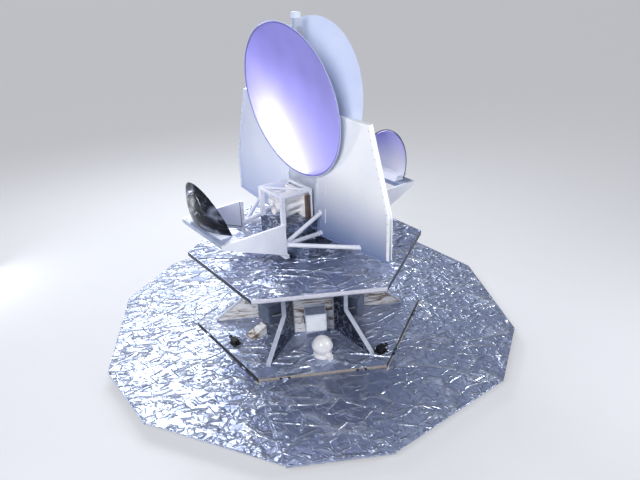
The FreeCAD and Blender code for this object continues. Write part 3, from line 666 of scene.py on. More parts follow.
def about_z(degrees: float) -> Matrix:
    """Turn about the Z axis."""
    return Matrix.Rotation(math.radians(degrees), 4, "Z")


def around(point: Sequence[float], degrees: float) -> Vector:
    """Turn a point about the Z axis."""
    return about_z(degrees) @ Vector(point)


def linked(name: str, data: bpy.types.ID) -> Piece:
    """Make an object at the origin and link it to the scene.

    Args:
        name: Name of the object.
        data: Its mesh, curve, lamp or camera.

    Returns:
        The new object.
    """
    piece = bpy.data.objects.new(name, data)
    bpy.context.scene.collection.objects.link(piece)
    return piece


def removed(piece: Piece) -> None:
    """Remove an object and its mesh.

    Args:
        piece: Mesh object.
    """
    data = piece.data
    bpy.data.objects.remove(piece)
    bpy.data.meshes.remove(data)


def mesh_piece(name: str, corners: Sequence[Sequence[float]], faces: Sequence[Sequence[int]]) -> Piece:
    """Make a mesh object at the origin.

    Args:
        name: Name of the object.
        corners: Vertex places in metres.
        faces: Vertex numbers of each face.

    Returns:
        The new object.
    """
    data = bpy.data.meshes.new(name)
    data.from_pydata([tuple(c) for c in corners], [], [tuple(f) for f in faces])
    data.update()
    return linked(name, data)


def worked_out(piece: Piece) -> bpy.types.Mesh:
    """Give a new mesh of a piece with its modifiers or its curve worked out."""
    bpy.context.view_layer.update()
    return bpy.data.meshes.new_from_object(piece.evaluated_get(bpy.context.evaluated_depsgraph_get()))


def make_plain(piece: Piece) -> None:
    """Turn a piece with modifiers into a plain mesh and drop the modifiers.

    Args:
        piece: Mesh object.
    """
    data = worked_out(piece)
    old = piece.data
    piece.modifiers.clear()
    piece.data = data
    bpy.data.meshes.remove(old)


def finished(piece: Piece, finish: Finish, body: str = BUS, smooth: bool = False) -> None:
    """Give a piece its material and its body, and report it.

    Args:
        piece: Mesh object.
        finish: Finish of the whole piece.
        body: Body that it rides on, or nothing where it lies across a joint.
        smooth: Whether its faces are shaded smooth.
    """
    piece.data.materials.clear()
    piece.data.materials.append(finish.material())
    if smooth:
        piece.data.polygons.foreach_set("use_smooth", [True] * len(piece.data.polygons))
    if body:
        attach(piece, body)
    LOG.info("%s on %s: %d faces", piece.name, body or "a joint", len(piece.data.polygons))


def dress(finishes: dict[str, Finish]) -> None:
    """Give every slot of some CAD nodes one finish each.

    Args:
        finishes: Name of each node to its finish.
    """
    for node, finish in finishes.items():
        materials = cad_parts[node].data.materials
        if not materials:
            materials.append(finish.material())
        for index in range(len(materials)):
            materials[index] = finish.material()


def run_nodes(piece: Piece, name: str, build: Callable[[Tree, Node], Node],
              inputs: dict[str, tuple[str, object]]) -> None:
    """Put a Geometry Nodes tree on a piece, set its inputs and keep the result as a plain mesh.

    The tree is made once and ends in Realize Instances and Set Material.

    Args:
        piece: Object that carries the tree for a moment.
        name: Name of the tree.
        build: Adds the nodes in the middle and returns the one that gives the geometry.
        inputs: Name of each input to its socket type and its value.
    """
    tree = bpy.data.node_groups.get(name)
    if tree is None:
        tree = bpy.data.node_groups.new(name, "GeometryNodeTree")
        sockets = tree.interface
        sockets.new_socket(name="Geometry", in_out="INPUT", socket_type="NodeSocketGeometry")
        for label, (kind, _) in inputs.items():
            sockets.new_socket(name=label, in_out="INPUT", socket_type=kind)
        sockets.new_socket(name="Geometry", in_out="OUTPUT", socket_type="NodeSocketGeometry")
        start = add(tree, "NodeGroupInput")
        real = add(tree, "GeometryNodeRealizeInstances", None, {"Geometry": build(tree, start)})
        dressed = add(tree, "GeometryNodeSetMaterial", None,
                      {"Geometry": real, "Material": start.outputs["Material"]})
        add(tree, "NodeGroupOutput", None, {"Geometry": dressed})
    modifier = piece.modifiers.new(name, "NODES")
    modifier.node_group = tree
    for item in tree.interface.items_tree:
        if item.item_type == "SOCKET" and item.in_out == "INPUT" and item.name in inputs:
            modifier[item.identifier] = inputs[item.name][1]
    make_plain(piece)


def crumple_nodes(tree: Tree, start: Node) -> Node:
    """Lift a sheet's points along one direction by creases and soft waves that die out at its edge.

    Args:
        tree: Tree that the nodes go into.
        start: Its input node.

    Returns:
        The node that gives the geometry.
    """
    given = start.outputs
    place = add(tree, "GeometryNodeInputPosition")
    shifted = add(tree, "ShaderNodeVectorMath", None, {0: place, 1: given["Seed place"]}, operation="ADD")
    size = add(tree, "ShaderNodeMath", {0: 1.0}, {1: given["Fold size"]}, operation="DIVIDE")
    cells = add(tree, "ShaderNodeVectorMath", None, {0: shifted, "Scale": size}, operation="SCALE")
    waves = add(tree, "ShaderNodeTexNoise", {"Scale": 0.8, "Detail": 2.0}, {"Vector": cells})
    swell = add(tree, "ShaderNodeMath", None, {0: waves, 1: given["Wave share"]}, operation="MULTIPLY")
    height = creased(tree, cells, SHEET_RIDGES, swell, 1.0)
    fade = add(tree, "GeometryNodeInputNamedAttribute", {"Name": "fade"}, data_type="FLOAT")
    lift = add(tree, "ShaderNodeMath", None, {0: height, 1: given["Fold height"]}, operation="MULTIPLY")
    kept = add(tree, "ShaderNodeMath", None, {0: lift, 1: fade.outputs["Attribute"]}, operation="MULTIPLY")
    offset = add(tree, "ShaderNodeVectorMath", None, {0: given["Direction"], "Scale": kept},
                 operation="SCALE")
    moved = add(tree, "GeometryNodeSetPosition", None, {"Geometry": given["Geometry"], "Offset": offset})
    return add(tree, "GeometryNodeSetShadeSmooth", None, {"Geometry": moved})


def place_nodes(tree: Tree, start: Node) -> Node:
    """Put one copy of a small piece on every point, turned to the point's stored directions.

    Args:
        tree: Tree that the nodes go into.
        start: Its input node.

    Returns:
        The node that gives the geometry.
    """
    info = add(tree, "GeometryNodeObjectInfo", {"As Instance": True}, {"Object": start.outputs["Piece"]})
    up = add(tree, "GeometryNodeInputNamedAttribute", {"Name": "up"}, data_type="FLOAT_VECTOR")
    along = add(tree, "GeometryNodeInputNamedAttribute", {"Name": "along"}, data_type="FLOAT_VECTOR")
    first = add(tree, "FunctionNodeAlignRotationToVector", None, {"Vector": up.outputs["Attribute"]},
                axis="Z")
    second = add(tree, "FunctionNodeAlignRotationToVector", None,
                 {"Rotation": first, "Vector": along.outputs["Attribute"]}, axis="X", pivot_axis="Z")
    return add(tree, "GeometryNodeInstanceOnPoints", None,
               {"Points": start.outputs["Geometry"], "Instance": info.outputs["Geometry"],
                "Rotation": second, "Scale": start.outputs["Scale"]})


@dataclass(frozen=True)
class Spot:
    """A place on a surface, the way out of it and a direction along it."""

    at: Vector
    up: Vector
    along: Sequence[float] = (1.0, 0.0, 0.0)


def scatter(name: str, spots: Sequence[Spot], model: Piece, finish: Finish, scale: float = 1.0,
            body: str = BUS) -> None:
    """Put copies of a small model on spots, as one plain mesh.

    Args:
        name: Name of the new piece.
        spots: Where the copies go.
        model: Small object round the origin, standing along +Z.
        finish: Finish of the copies.
        scale: Scale of every copy.
        body: Body that the piece rides on.
    """
    piece = mesh_piece(name, [s.at for s in spots], [])
    for label, values in (("up", [s.up for s in spots]), ("along", [s.along for s in spots])):
        layer = piece.data.attributes.new(label, "FLOAT_VECTOR", "POINT")
        layer.data.foreach_set("vector", [c for v in values for c in v])
    run_nodes(piece, "place_copies", place_nodes,
              {"Piece": ("NodeSocketObject", model), "Scale": ("NodeSocketVector", (scale, scale, scale)),
               "Material": ("NodeSocketMaterial", finish.material())})
    finished(piece, finish, body)


def block(name: str, low: Sequence[float], high: Sequence[float], bevel: float = 0.0) -> Piece:
    """Make a box between two corners, with bevelled edges.

    Args:
        name: Name of the object.
        low: Lowest corner.
        high: Highest corner.
        bevel: Width of the bevel in metres.

    Returns:
        The new object.
    """
    corners = [(x, y, z) for z in (low[2], high[2]) for x, y in
               ((low[0], low[1]), (high[0], low[1]), (high[0], high[1]), (low[0], high[1]))]
    faces = [(3, 2, 1, 0), (4, 5, 6, 7), (0, 1, 5, 4), (1, 2, 6, 5), (2, 3, 7, 6), (3, 0, 4, 7)]
    piece = mesh_piece(name, corners, faces)
    if bevel > 0.0:
        edge = piece.modifiers.new("edges", "BEVEL")
        edge.width = bevel
        edge.segments = 2
        make_plain(piece)
    return piece


def prism(name: str, outline: Sequence[Sequence[float]], push: Sequence[float]) -> Piece:
    """Push a flat outline along a vector.

    Args:
        name: Name of the object.
        outline: Corners of the flat face.
        push: Direction and length of the push.

    Returns:
        The new closed object, its faces outwards.
    """
    low = [Vector(p) for p in outline]
    high = [p + Vector(push) for p in low]
    count = len(low)
    turning = sum(((low[i] - low[0]).cross(low[i + 1] - low[0]) for i in range(1, count - 1)), Vector())
    faces = [tuple(range(count))[::-1], tuple(range(count, 2 * count))]
    faces += [(i, (i + 1) % count, count + (i + 1) % count, count + i) for i in range(count)]
    if turning.dot(Vector(push)) < 0.0:
        faces = [f[::-1] for f in faces]
    return mesh_piece(name, low + high, faces)


def rod(name: str, path: Sequence[Sequence[float]], radius: float) -> Piece:
    """Sweep a round section along a smooth path.

    Args:
        name: Name of the object.
        path: Points that the piece follows.
        radius: Radius in metres.

    Returns:
        A plain mesh with closed ends.
    """
    curve = bpy.data.curves.new(name, "CURVE")
    curve.dimensions = "3D"
    spline = curve.splines.new("NURBS")
    spline.points.add(len(path) - 1)
    for point, place in zip(spline.points, path):
        point.co = (*place, 1.0)
    spline.order_u = 3
    spline.use_endpoint_u = True
    curve.resolution_u = 6
    curve.bevel_depth = radius
    curve.bevel_resolution = 1
    curve.use_fill_caps = True
    holder = linked(name + "_path", curve)
    data = worked_out(holder)
    bpy.data.objects.remove(holder)
    return linked(name, data)


def moved(piece: Piece, matrix: Matrix) -> Piece:
    """Move a piece by changing its mesh."""
    piece.data.transform(matrix)
    return piece


def merged(name: str, pieces: Sequence[Piece], finish: Finish, smooth: bool = False) -> None:
    """Join pieces of one finish on the bus into one piece.

    Args:
        name: Name of the result.
        pieces: Pieces to join, which are removed.
        finish: Their finish.
        smooth: Whether the faces are shaded smooth.
    """
    corners: Points = []
    faces: list[tuple[int, ...]] = []
    for piece in pieces:
        base = len(corners)
        corners += [v.co.copy() for v in piece.data.vertices]
        faces += [tuple(base + i for i in p.vertices) for p in piece.data.polygons]
        removed(piece)
    finished(mesh_piece(name, corners, faces), finish, BUS, smooth)


class Turned(Enum):
    """Small turned parts that are copied many times: facets, then radius and height of each corner in mm."""

    HEX_BOLT = (6, ((0.0, 0.0), (9.5, 0.0), (9.5, 1.4), (7.5, 1.4), (7.5, 6.4), (6.4, 7.4), (0.0, 7.4)))
    CAP_SCREW = (12, ((0.0, 0.0), (4.6, 0.0), (4.6, 3.4), (4.1, 4.0), (2.1, 4.0), (2.1, 2.2), (0.0, 2.2)))
    SLEEVE = (24, ((0.0, 0.0), (28.0, 0.0), (28.0, 20.0), (25.5, 26.0), (0.0, 26.0)))
    FOOT = (24, ((0.0, 0.0), (36.0, 0.0), (36.0, 4.0), (31.0, 6.0), (0.0, 6.0)))

    def model(self) -> Piece:
        """Turn the part's outline about Z, the first time that it is asked for.

        Returns:
            The model, round the origin and standing along +Z.
        """
        name = "model_" + self.name.lower()
        if name in bpy.data.objects:
            return bpy.data.objects[name]
        sides, outline = self.value
        corners: list[tuple[float, float, float]] = []
        rings: list[list[int]] = []
        for radius, height in outline:
            count = sides if radius > 0.0 else 1
            rings.append(list(range(len(corners), len(corners) + count)))
            for i in range(count):
                angle = 2.0 * math.pi * i / sides
                corners.append((radius * MM * math.cos(angle), radius * MM * math.sin(angle), height * MM))
        faces: list[tuple[int, ...]] = []
        for low, high in zip(rings, rings[1:]):
            for i in range(sides):
                j = (i + 1) % sides
                if len(low) == 1:
                    faces.append((low[0], high[j], high[i]))
                elif len(high) == 1:
                    faces.append((low[i], low[j], high[0]))
                else:
                    faces.append((low[i], low[j], high[j], high[i]))
        return mesh_piece(name, corners, faces)

    @classmethod
    def discard(cls) -> None:
        """Remove the models once every copy is a plain mesh."""
        for part in cls:
            removed(part.model())


def screws(name: str, spots: Sequence[Spot], scale: float = 1.0) -> None:
    """Put cap screws on spots of the bus.

    Args:
        name: Name of the new piece.
        spots: Where the screws go.
        scale: Their size, where 1 is a head 9.2 mm across.
    """
    scatter(name, spots, Turned.CAP_SCREW.model(), FASTENER_STEEL, scale)


def hexagon(radius: float, z: float) -> Points:
    """Corners of a hexagonal deck, counter-clockwise from 30 degrees."""
    return [around((radius, 0.0, z), 30.0 + 60.0 * i) for i in range(6)]


def upright(a: Vector, b: Vector, low: float, high: float) -> Points:
    """Corners of an upright face that runs from a to b, counter-clockwise seen from outside."""
    return [Vector((p.x, p.y, z)) for p, z in ((a, low), (b, low), (b, high), (a, high))]


def other_side(points: Sequence[Vector]) -> Points:
    """Mirror an outline across Y = 0 and keep its direction round."""
    return [Vector((p.x, -p.y, p.z)) for p in reversed(points)]


def inset(outline: Sequence[Vector], distance: float, normal: Vector) -> Points:
    """Move the sides of a flat convex outline inwards.

    Args:
        outline: Corners, counter-clockwise seen from the tip of the normal.
        distance: How far, in metres.
        normal: Normal of the outline.

    Returns:
        The smaller outline.
    """
    result: Points = []
    for before, corner, after in zip((outline[-1], *outline), outline, (*outline[1:], outline[0])):
        first = normal.cross((corner - before).normalized())
        second = normal.cross((after - corner).normalized())
        result.append(corner + (first + second) * (distance / max(0.2, 1.0 + first.dot(second))))
    return result


@dataclass(frozen=True)
class Crumple:
    """How a film lies: its grid, its base lift, its folds, how far from the edge they die out, its waves."""

    step: float
    lift: float
    height: float
    size: float
    fade: float
    waves: float = 0.6


def film_sheet(name: str, outline: Sequence[Vector], normal: Vector, finish: Finish, how: Crumple,
               seed: float, body: str = BUS) -> Piece:
    """Lay a crumpled film over a flat convex face, closed underneath.

    Args:
        name: Name of the piece.
        outline: Corners of the face, counter-clockwise seen from outside.
        normal: Outward normal.
        finish: Finish of the film.
        how: Sizes of the crumple.
        seed: Fixed shift of the pattern.
        body: Body that it rides on, or nothing where it lies across a joint.

    Returns:
        The new piece.
    """
    start = outline[0]
    along = (outline[1] - start).normalized()
    across = normal.cross(along)
    us = [(p - start).dot(along) for p in outline]
    vs = [(p - start).dot(across) for p in outline]
    wide, deep = max(us) - min(us), max(vs) - min(vs)
    centre = start + along * (max(us) + min(us)) / 2.0 + across * (max(vs) + min(vs)) / 2.0
    axes = Matrix((along * wide / 2.0, across * deep / 2.0, normal)).transposed().to_4x4()
    mesh = bmesh.new()
    bmesh.ops.create_grid(mesh, x_segments=max(2, round(wide / how.step)),
                          y_segments=max(2, round(deep / how.step)), size=1.0,
                          matrix=Matrix.Translation(centre) @ axes)
    inward: list[tuple[Vector, Vector]] = []
    for corner, after in zip(outline, (*outline[1:], start)):
        side = normal.cross((after - corner).normalized())
        inward.append((corner, side))
        bmesh.ops.bisect_plane(mesh, geom=[*mesh.verts, *mesh.edges, *mesh.faces], plane_co=corner,
                               plane_no=-side, clear_outer=True)
    depths = {v: min((v.co - corner).dot(side) for corner, side in inward) for v in mesh.verts}
    bmesh.ops.translate(mesh, verts=list(mesh.verts), vec=normal * how.lift)
    skirt = bmesh.ops.extrude_edge_only(mesh, edges=[e for e in mesh.edges if e.is_boundary])["geom"]
    bmesh.ops.translate(mesh, verts=[v for v in skirt if isinstance(v, bmesh.types.BMVert)],
                        vec=-normal * (how.lift - SKIRT_GAP))
    bmesh.ops.holes_fill(mesh, edges=[e for e in mesh.edges if e.is_boundary], sides=0)
    bmesh.ops.recalc_face_normals(mesh, faces=list(mesh.faces))
    layer = mesh.verts.layers.float.new("fade")
    for vertex in mesh.verts:
        share = min(1.0, max(0.0, depths.get(vertex, 0.0) / how.fade))
        vertex[layer] = share * share * (3.0 - 2.0 * share)
    data = bpy.data.meshes.new(name)
    mesh.to_mesh(data)
    mesh.free()
    piece = linked(name, data)
    run_nodes(piece, "film_crumple", crumple_nodes,
              {"Fold height": ("NodeSocketFloat", how.height),
               "Fold size": ("NodeSocketFloat", how.size),
               "Wave share": ("NodeSocketFloat", how.waves),
               "Direction": ("NodeSocketVector", tuple(normal)),
               "Seed place": ("NodeSocketVector", (seed, 1.7 * seed, 0.6 * seed)),
               "Material": ("NodeSocketMaterial", finish.material())})
    finished(piece, finish, body)
    return piece


@dataclass
class FoldingShield:
    """Crumpled film and solar cells on the six panels and the twelve halves of the webs."""

    hinge_apothem: float = LOWER_RADIUS * CORNER_COS + 0.0145
    root_gap: float = 0.006
    outer_apothem: float = 2.496
    inner_half: float = 0.712
    outer_half: float = 0.5215
    web_apothem: float = 2.420
    web_setback: float = 0.045
    web_split: float = 0.003
    panel_edge: float = 0.003
    web_edge: float = 0.002
    seamed: tuple[int, ...] = (0, 3)
    tape_half: float = 0.0045
    tape_lift: tuple[float, float] = (0.0001, 0.0008)
    seam_half: float = 0.022
    seam_lift: float = 0.0014
    seam_setbacks: tuple[float, float] = (0.02, 0.01)
    bend_half: float = 0.009
    underside: float = 0.115
    cell: tuple[float, float, float] = (0.076, 0.037, 0.0009)
    cell_gap: float = 0.0025
    cell_margin: float = 0.05
    deck_cells_from: float = 0.55
    sector_margin: float = 0.02
    panel_film: Crumple = Crumple(0.0115, 0.0012, 0.017, 0.22, 0.03)
    web_film: Crumple = Crumple(0.015, 0.0006, 0.0025, 0.12, 0.03)
    seam_film: Crumple = Crumple(0.008, 0.0005, 0.0016, 0.09, 0.008)

    def side(self) -> tuple[Vector, Vector]:
        """Inner and outer end of the +Y side of the panel that points to +X."""
        return (Vector((self.hinge_apothem + self.root_gap, self.inner_half, SHIELD_TOP)),
                Vector((self.outer_apothem, self.outer_half, SHIELD_TOP)))

    def panel_outline(self) -> Points:
        """Corners of the panel that points to +X."""
        inner, outer = self.side()
        return [*other_side((outer, inner)), outer, inner]

    def web_outline(self) -> Points:
        """Corners of the web half on the +Y side of the panel that points to +X.

        Returns:
            The inner end of the side at its hinge, the outer end, and both ends at the middle plane.
        """
        inner, outer = self.side()
        along = (outer - inner).normalized()
        across = Vector((-along.y, along.x, 0.0))
        root = inner + across * 2.0 * self.root_gap
        split = Vector((CORNER_COS, CORNER_SIN, 0.0))
        normal = Vector((-CORNER_SIN, CORNER_COS, 0.0))
        tip = root + along * ((-self.web_split - root.dot(normal)) / along.dot(normal))
        back = tip + along * self.web_setback
        out = split * self.web_apothem + UP * SHIELD_TOP
        outer_root = root + along * ((out - root).dot(split) / along.dot(split))
        outer_mid = out - normal * self.web_split
        inner_mid = out + split * (back - out).dot(split) - normal * self.web_split
        return [back, outer_root, outer_mid, inner_mid]

    def lay(self, name: str, outline: Sequence[Vector], index: int, how: Crumple, seed: float,
            body: str) -> Piece:
        """Lay film on one of the six sectors.

        Args:
            name: Name of the piece.
            outline: Its corners in the sector that points to +X.
            index: Number of the sector, from 0.
            how: Sizes of the crumple.
            seed: Fixed shift of the pattern.
            body: Body that it rides on, or nothing where it bends across a joint.

        Returns:
            The new piece.
        """
        return film_sheet(name, [around(p, 60.0 * index) for p in outline], UP, SHIELD_FILM, how, seed, body)

    def films(self) -> None:
        """Lay the film on every panel and web, in two halves where the photograph shows a seam."""
        panel = inset(self.panel_outline(), self.panel_edge, UP)
        web = inset(self.web_outline(), self.web_edge, UP)
        inner, outer = panel[0].x, panel[1].x
        near = [panel[0], panel[1], Vector((outer, -self.tape_half, SHIELD_TOP)),
                Vector((inner, -self.tape_half, SHIELD_TOP))]
        low, high = (SHIELD_TOP + lift for lift in self.tape_lift)
        for i in range(6):
            number = str(i + 1)
            body = "shield_panel_" + number
            halves = {"r": near, "l": other_side(near)} if i in self.seamed else {"": panel}
            for label, outline in halves.items():
                self.lay("shield_film_" + number + label, outline, i, self.panel_film, 3.1 * i, body)
            if i in self.seamed:
                tape = block("seam_tape_" + number, (inner, -self.tape_half, low),
                             (outer, self.tape_half, high))
                finished(moved(tape, about_z(60.0 * i)), SEAM_TAPE, body)
            for label, outline in (("l", web), ("r", other_side(web))):
                self.lay("web_film_" + number + label, outline, i, self.web_film, 5.3 * i + 1.0,
                         "web_" + number + label)
        self.seams()

    def seams(self) -> None:
        """Bridge the gap between each panel and its two webs with a strip of film that lies across the
        joint.
        """
        inner, outer = self.side()
        along = (outer - inner).normalized()
        across = Vector((-along.y, along.x, 0.0))
        hinge = inner + across * self.root_gap
        back, tip = self.web_outline()[:2]
        start = hinge + along * ((back - hinge).dot(along) + self.seam_setbacks[0])
        end = hinge + along * ((tip - hinge).dot(along) - self.seam_setbacks[1])
        half = across * self.seam_half
        strip = [p + UP * self.seam_lift for p in (start - half, end - half, end + half, start + half)]
        bend = [(start + end) / 2.0 + across * sign * self.bend_half for sign in SIGNS]
        for i in range(6):
            for label, outline, sign in (("l", strip, 1.0), ("r", other_side(strip), -1.0)):
                number = str(i + 1)
                piece = self.lay("seam_film_" + number + label, outline, i, self.seam_film, 4.3 * i, "")
                ends = [tuple(around((p.x, sign * p.y, p.z), 60.0 * i)) for p in bend]
                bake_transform(piece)

    def cell_rows(self, low: float, high: float, z: float, half: Callable[[float], float]) -> Points:
        """Places of whole cells in rows across the sector that points to +X.

        Args:
            low: Distance from the axis where the first row starts.
            high: Distance that the last row stays within.
            z: Height of the cells' seats.
            half: Gives half the free width of the row at a distance.

        Returns:
            The middle of each cell.
        """
        pitch_x, pitch_y = self.cell[0] + self.cell_gap, self.cell[1] + self.cell_gap
        places: Points = []
        for row in range(int((high - low) / pitch_x)):
            x = low + pitch_x * (row + 0.5)
            count = int(half(x) / pitch_y)
            places += [Vector((x, pitch_y * k, z)) for k in range(-count, count + 1)]
        return places

    def cells(self) -> None:
        """Set solar cells on the undersides of the panels and of the lower deck."""
        x, y, thick = self.cell
        model = block("model_cell", (-x / 2, -y / 2, 0.0), (x / 2, y / 2, thick))
        reach = (x + self.cell_gap) / 2
        slope = (self.inner_half - self.outer_half) / (self.outer_apothem - self.hinge_apothem)
        panel = self.cell_rows(
            self.hinge_apothem + self.root_gap + self.cell_margin, self.outer_apothem - self.cell_margin,
            self.underside,
            lambda at: self.inner_half - slope * (at + reach - self.hinge_apothem) - self.cell_margin)
        deck = self.cell_rows(
            self.deck_cells_from, LOWER_RADIUS * CORNER_COS - self.cell_margin, DECK_LOW,
            lambda at: (at - reach) / math.sqrt(3.0) - self.sector_margin)
        deck_spots: list[Spot] = []
        for i in range(6):
            turn = about_z(60.0 * i)
            along = turn @ Vector((1.0, 0.0, 0.0))
            scatter("solar_cells_%d" % (i + 1), [Spot(turn @ p, -UP, along) for p in panel], model,
                    CELL_GLASS, body="shield_panel_%d" % (i + 1))
            deck_spots += [Spot(turn @ p, -UP, along) for p in deck]
        scatter("deck_solar_cells", deck_spots, model, CELL_GLASS)
        removed(model)

    def dress(self) -> None:
        """Give the panels and webs their base finish."""
        for i in range(1, 7):
            dress(dict.fromkeys(("shield_panel_%d" % i, "web_%dl" % i, "web_%dr" % i), EDGE_TAPE))


@dataclass
class Bus:
    """Films of the decks, hub and fins, and the fittings of the electronics boxes."""

    upper_radius: float = 1.43496
    hub_radius: float = 0.510
    lower_edge: float = 0.004
    upper_edge: float = 0.005
    side_edge: float = 0.002
    hub_edge: float = 0.003
    rail_thick: float = 0.0012
    lit_edges: tuple[int, ...] = (1, 4)
    lit_fins: tuple[int, ...] = (2, 5)
    fin_half: float = 0.017
    fin_cap: float = 0.010
    fin_margin: float = 0.004
    fin_root: float = 0.012
    fin_waist: float = 0.735
    fin_waist_z: float = 0.533
    fin_tip: float = 1.170
    fin_tip_z: float = 0.196
    shaded_boxes: tuple[int, ...] = (4, 6)
    box_face: float = 0.69967
    box_back: float = 0.51967
    box_half: float = 0.125
    box_low: float = 0.327
    box_high: float = 0.560
    lid_margins: tuple[float, float] = (0.014, 0.012)
    lid_thick: float = 0.003
    cover_margin: float = 0.008
    cover_thick: float = 0.004
    screw_margin: float = 0.02
    screw_inner: float = 0.034
    screw_outer: float = 0.1
    cover_screws: tuple[float, ...] = (-0.105, 0.0, 0.105)
    plugs: tuple[float, ...] = (0.56, 0.61, 0.66)
    plug: tuple[float, float, float] = (0.017, 0.012, 0.006)
    bevels: tuple[float, float, float] = (0.0012, 0.0015, 0.002)
    head_scale: float = 0.8
    conduit: tuple[tuple[float, float, float], ...] = (
        (0.66, 0.012, 0.0), (0.64, 0.028, 0.01), (0.56, 0.03, 0.02), (0.49, 0.02, 0.03),
        (0.452, 0.004, 0.035))
    conduit_radius: float = 0.0065
    lower_film: Crumple = Crumple(0.0125, 0.001, 0.015, 0.2, 0.03)
    upper_film: Crumple = Crumple(0.0115, 0.0012, 0.02, 0.28, 0.04, 1.2)
    edge_film: Crumple = Crumple(0.012, 0.0008, 0.0012, 0.09, 0.012)
    hub_film: Crumple = Crumple(0.012, 0.002, 0.017, 0.13, 0.04, 1.6)
    fin_film: Crumple = Crumple(0.013, 0.001, 0.006, 0.09, 0.02)

    @staticmethod
    def side_corners(radius: float, index: int) -> tuple[Vector, Vector]:
        """Both ends of one side of a hexagon round the axis."""
        reach = (radius, 0.0, 0.0)
        return around(reach, 60.0 * index - 30.0), around(reach, 60.0 * index + 30.0)

    def films(self) -> None:
        """Lay films on the decks, their edges, the hub's faces and both faces of each fin."""
        floor = inset(hexagon(LOWER_RADIUS, DECK_TOP), self.lower_edge, UP)
        film_sheet("lower_deck_film", floor, UP, FLOOR_FILM, self.lower_film, 21.0)
        deck = inset(hexagon(self.upper_radius, UPPER_TOP), self.upper_edge, UP)
        film_sheet("upper_deck_film", deck, UP, DECK_FILM, self.upper_film, 33.0)
        for i in range(6):
            out = around((1.0, 0.0, 0.0), 60.0 * i)
            # Painted light: sides in this list get the pale tape and tan rail as lit copies, the others the
            # dark tape and rail as painted shade, though all are one tape.
            pale = i in self.lit_edges
            face = inset(upright(*self.side_corners(self.upper_radius, i), UPPER_LOW, UPPER_TOP),
                         self.side_edge, out)
            film_sheet("deck_edge_film_%d" % (i + 1), face, out, DECK_EDGE if pale else DARK_EDGE,
                       self.edge_film, 2.0 * i)
            rail = upright(*self.side_corners(LOWER_RADIUS, i), DECK_LOW, DECK_TOP)
            finished(prism("deck_rail_%d" % (i + 1), rail, out * self.rail_thick),
                     RAIL_EDGE if pale else DARK_EDGE)
            a, b = self.side_corners(self.hub_radius, i)
            fin = (b - a).normalized() * (self.fin_half + self.fin_margin)
            face = inset(upright(a + fin, b - fin, DECK_TOP, UPPER_LOW), self.hub_edge, out)
            film_sheet("hub_blanket_%d" % (i + 1), face, out, HUB_BLANKET, self.hub_film, 7.0 * i + 2.0)
        self.fins()

    def fins(self) -> None:
        """Lay film on both faces of the six fins, in an upright and a flared stretch."""
        inner, waist = self.hub_radius + self.fin_root, self.fin_waist - self.fin_cap
        low, high = DECK_TOP + self.fin_margin, UPPER_LOW - self.fin_margin
        shapes = {"upright": [(inner, low), (waist, low), (waist, high), (inner, high)],
                  "flare": [(waist, low), (self.fin_tip, low), (self.fin_tip, self.fin_tip_z),
                            (waist, self.fin_waist_z)]}
        for i in range(6):
            turn = 30.0 + 60.0 * i
            # Painted shade: the fins not in this list take the dark film, though all six wear the same warm
            # blanket.
            finish = HUB_BLANKET if i in self.lit_fins else SHADED_FIN_FILM
            for label, side in (("r", -1.0), ("l", 1.0)):
                normal = around((0.0, side, 0.0), turn)
                for shape, outline in shapes.items():
                    corners = [around((x, side * self.fin_half, z), turn) for x, z in outline]
                    if side > 0.0:
                        corners.reverse()
                    film_sheet("fin_film_%s_%d%s" % (shape, i + 1, label), corners, normal, finish,
                               self.fin_film, 3.0 * i + side)

    def boxes(self) -> None:
        """Add lids, covers, screws, connectors and conduits to the six electronics boxes."""
        lids: list[Piece] = []
        shaded_lids: list[Piece] = []
        covers: list[Piece] = []
        plugs: list[Piece] = []
        conduits: list[Piece] = []
        spots: list[Spot] = []
        half, middle = self.box_half, (self.box_low + self.box_high) / 2.0
        lid_y, lid_z = half - self.lid_margins[0], self.lid_margins[1]
        lid_face, cover_top = self.box_face + self.lid_thick, self.box_high + self.cover_thick
        cover_y = half - self.cover_margin
        plug_half, plug_deep, plug_high = self.plug
        lid_bevel, cover_bevel, plug_bevel = self.bevels
        columns = (-self.screw_outer, -self.screw_inner, self.screw_inner, self.screw_outer)
        heads = [(y, z) for y in columns
                 for z in (self.box_low + self.screw_margin, self.box_high - self.screw_margin)]
        heads += [(y, z) for z in (middle - self.screw_inner, middle + self.screw_inner)
                  for y in (-self.screw_outer, self.screw_outer)]
        for i in range(6):
            turn = about_z(60.0 * i)
            lid = block("lid", (self.box_face, -lid_y, self.box_low + lid_z),
                        (lid_face, lid_y, self.box_high - lid_z), lid_bevel)
            # Painted light: boxes 4 and 6, on the shaded side, get slate lids as painted shade, the others
            # pale lids as painted light.
            (shaded_lids if i + 1 in self.shaded_boxes else lids).append(moved(lid, turn))
            cover = block("cover", (self.box_back + self.cover_margin, -cover_y, self.box_high),
                          (self.box_face - self.cover_margin, cover_y, cover_top), cover_bevel)
            covers.append(moved(cover, turn))
            out = turn @ Vector((1.0, 0.0, 0.0))
            spots += [Spot(turn @ Vector((lid_face, y, z)), out, UP) for y, z in heads]
            spots += [Spot(turn @ Vector((x, y, cover_top)), UP)
                      for x in (self.box_back + self.screw_margin, self.box_face - self.screw_margin)
                      for y in self.cover_screws]
            for side in SIGNS:
                near, far = sorted((side * half, side * (half + plug_deep)))
                plugs += [moved(block("plug", (x - plug_half, near, middle - plug_high),
                                      (x + plug_half, far, middle + plug_high), plug_bevel), turn)
                          for x in self.plugs]
                path = [(x, side * (half + off), middle - drop) for x, off, drop in self.conduit]
                conduits.append(moved(rod("conduit", path, self.conduit_radius), turn))
        merged("box_lids", lids, LIT_BOX_LID_PAINT)
        merged("box_slate_lids", shaded_lids, SHADED_BOX_PAINT)
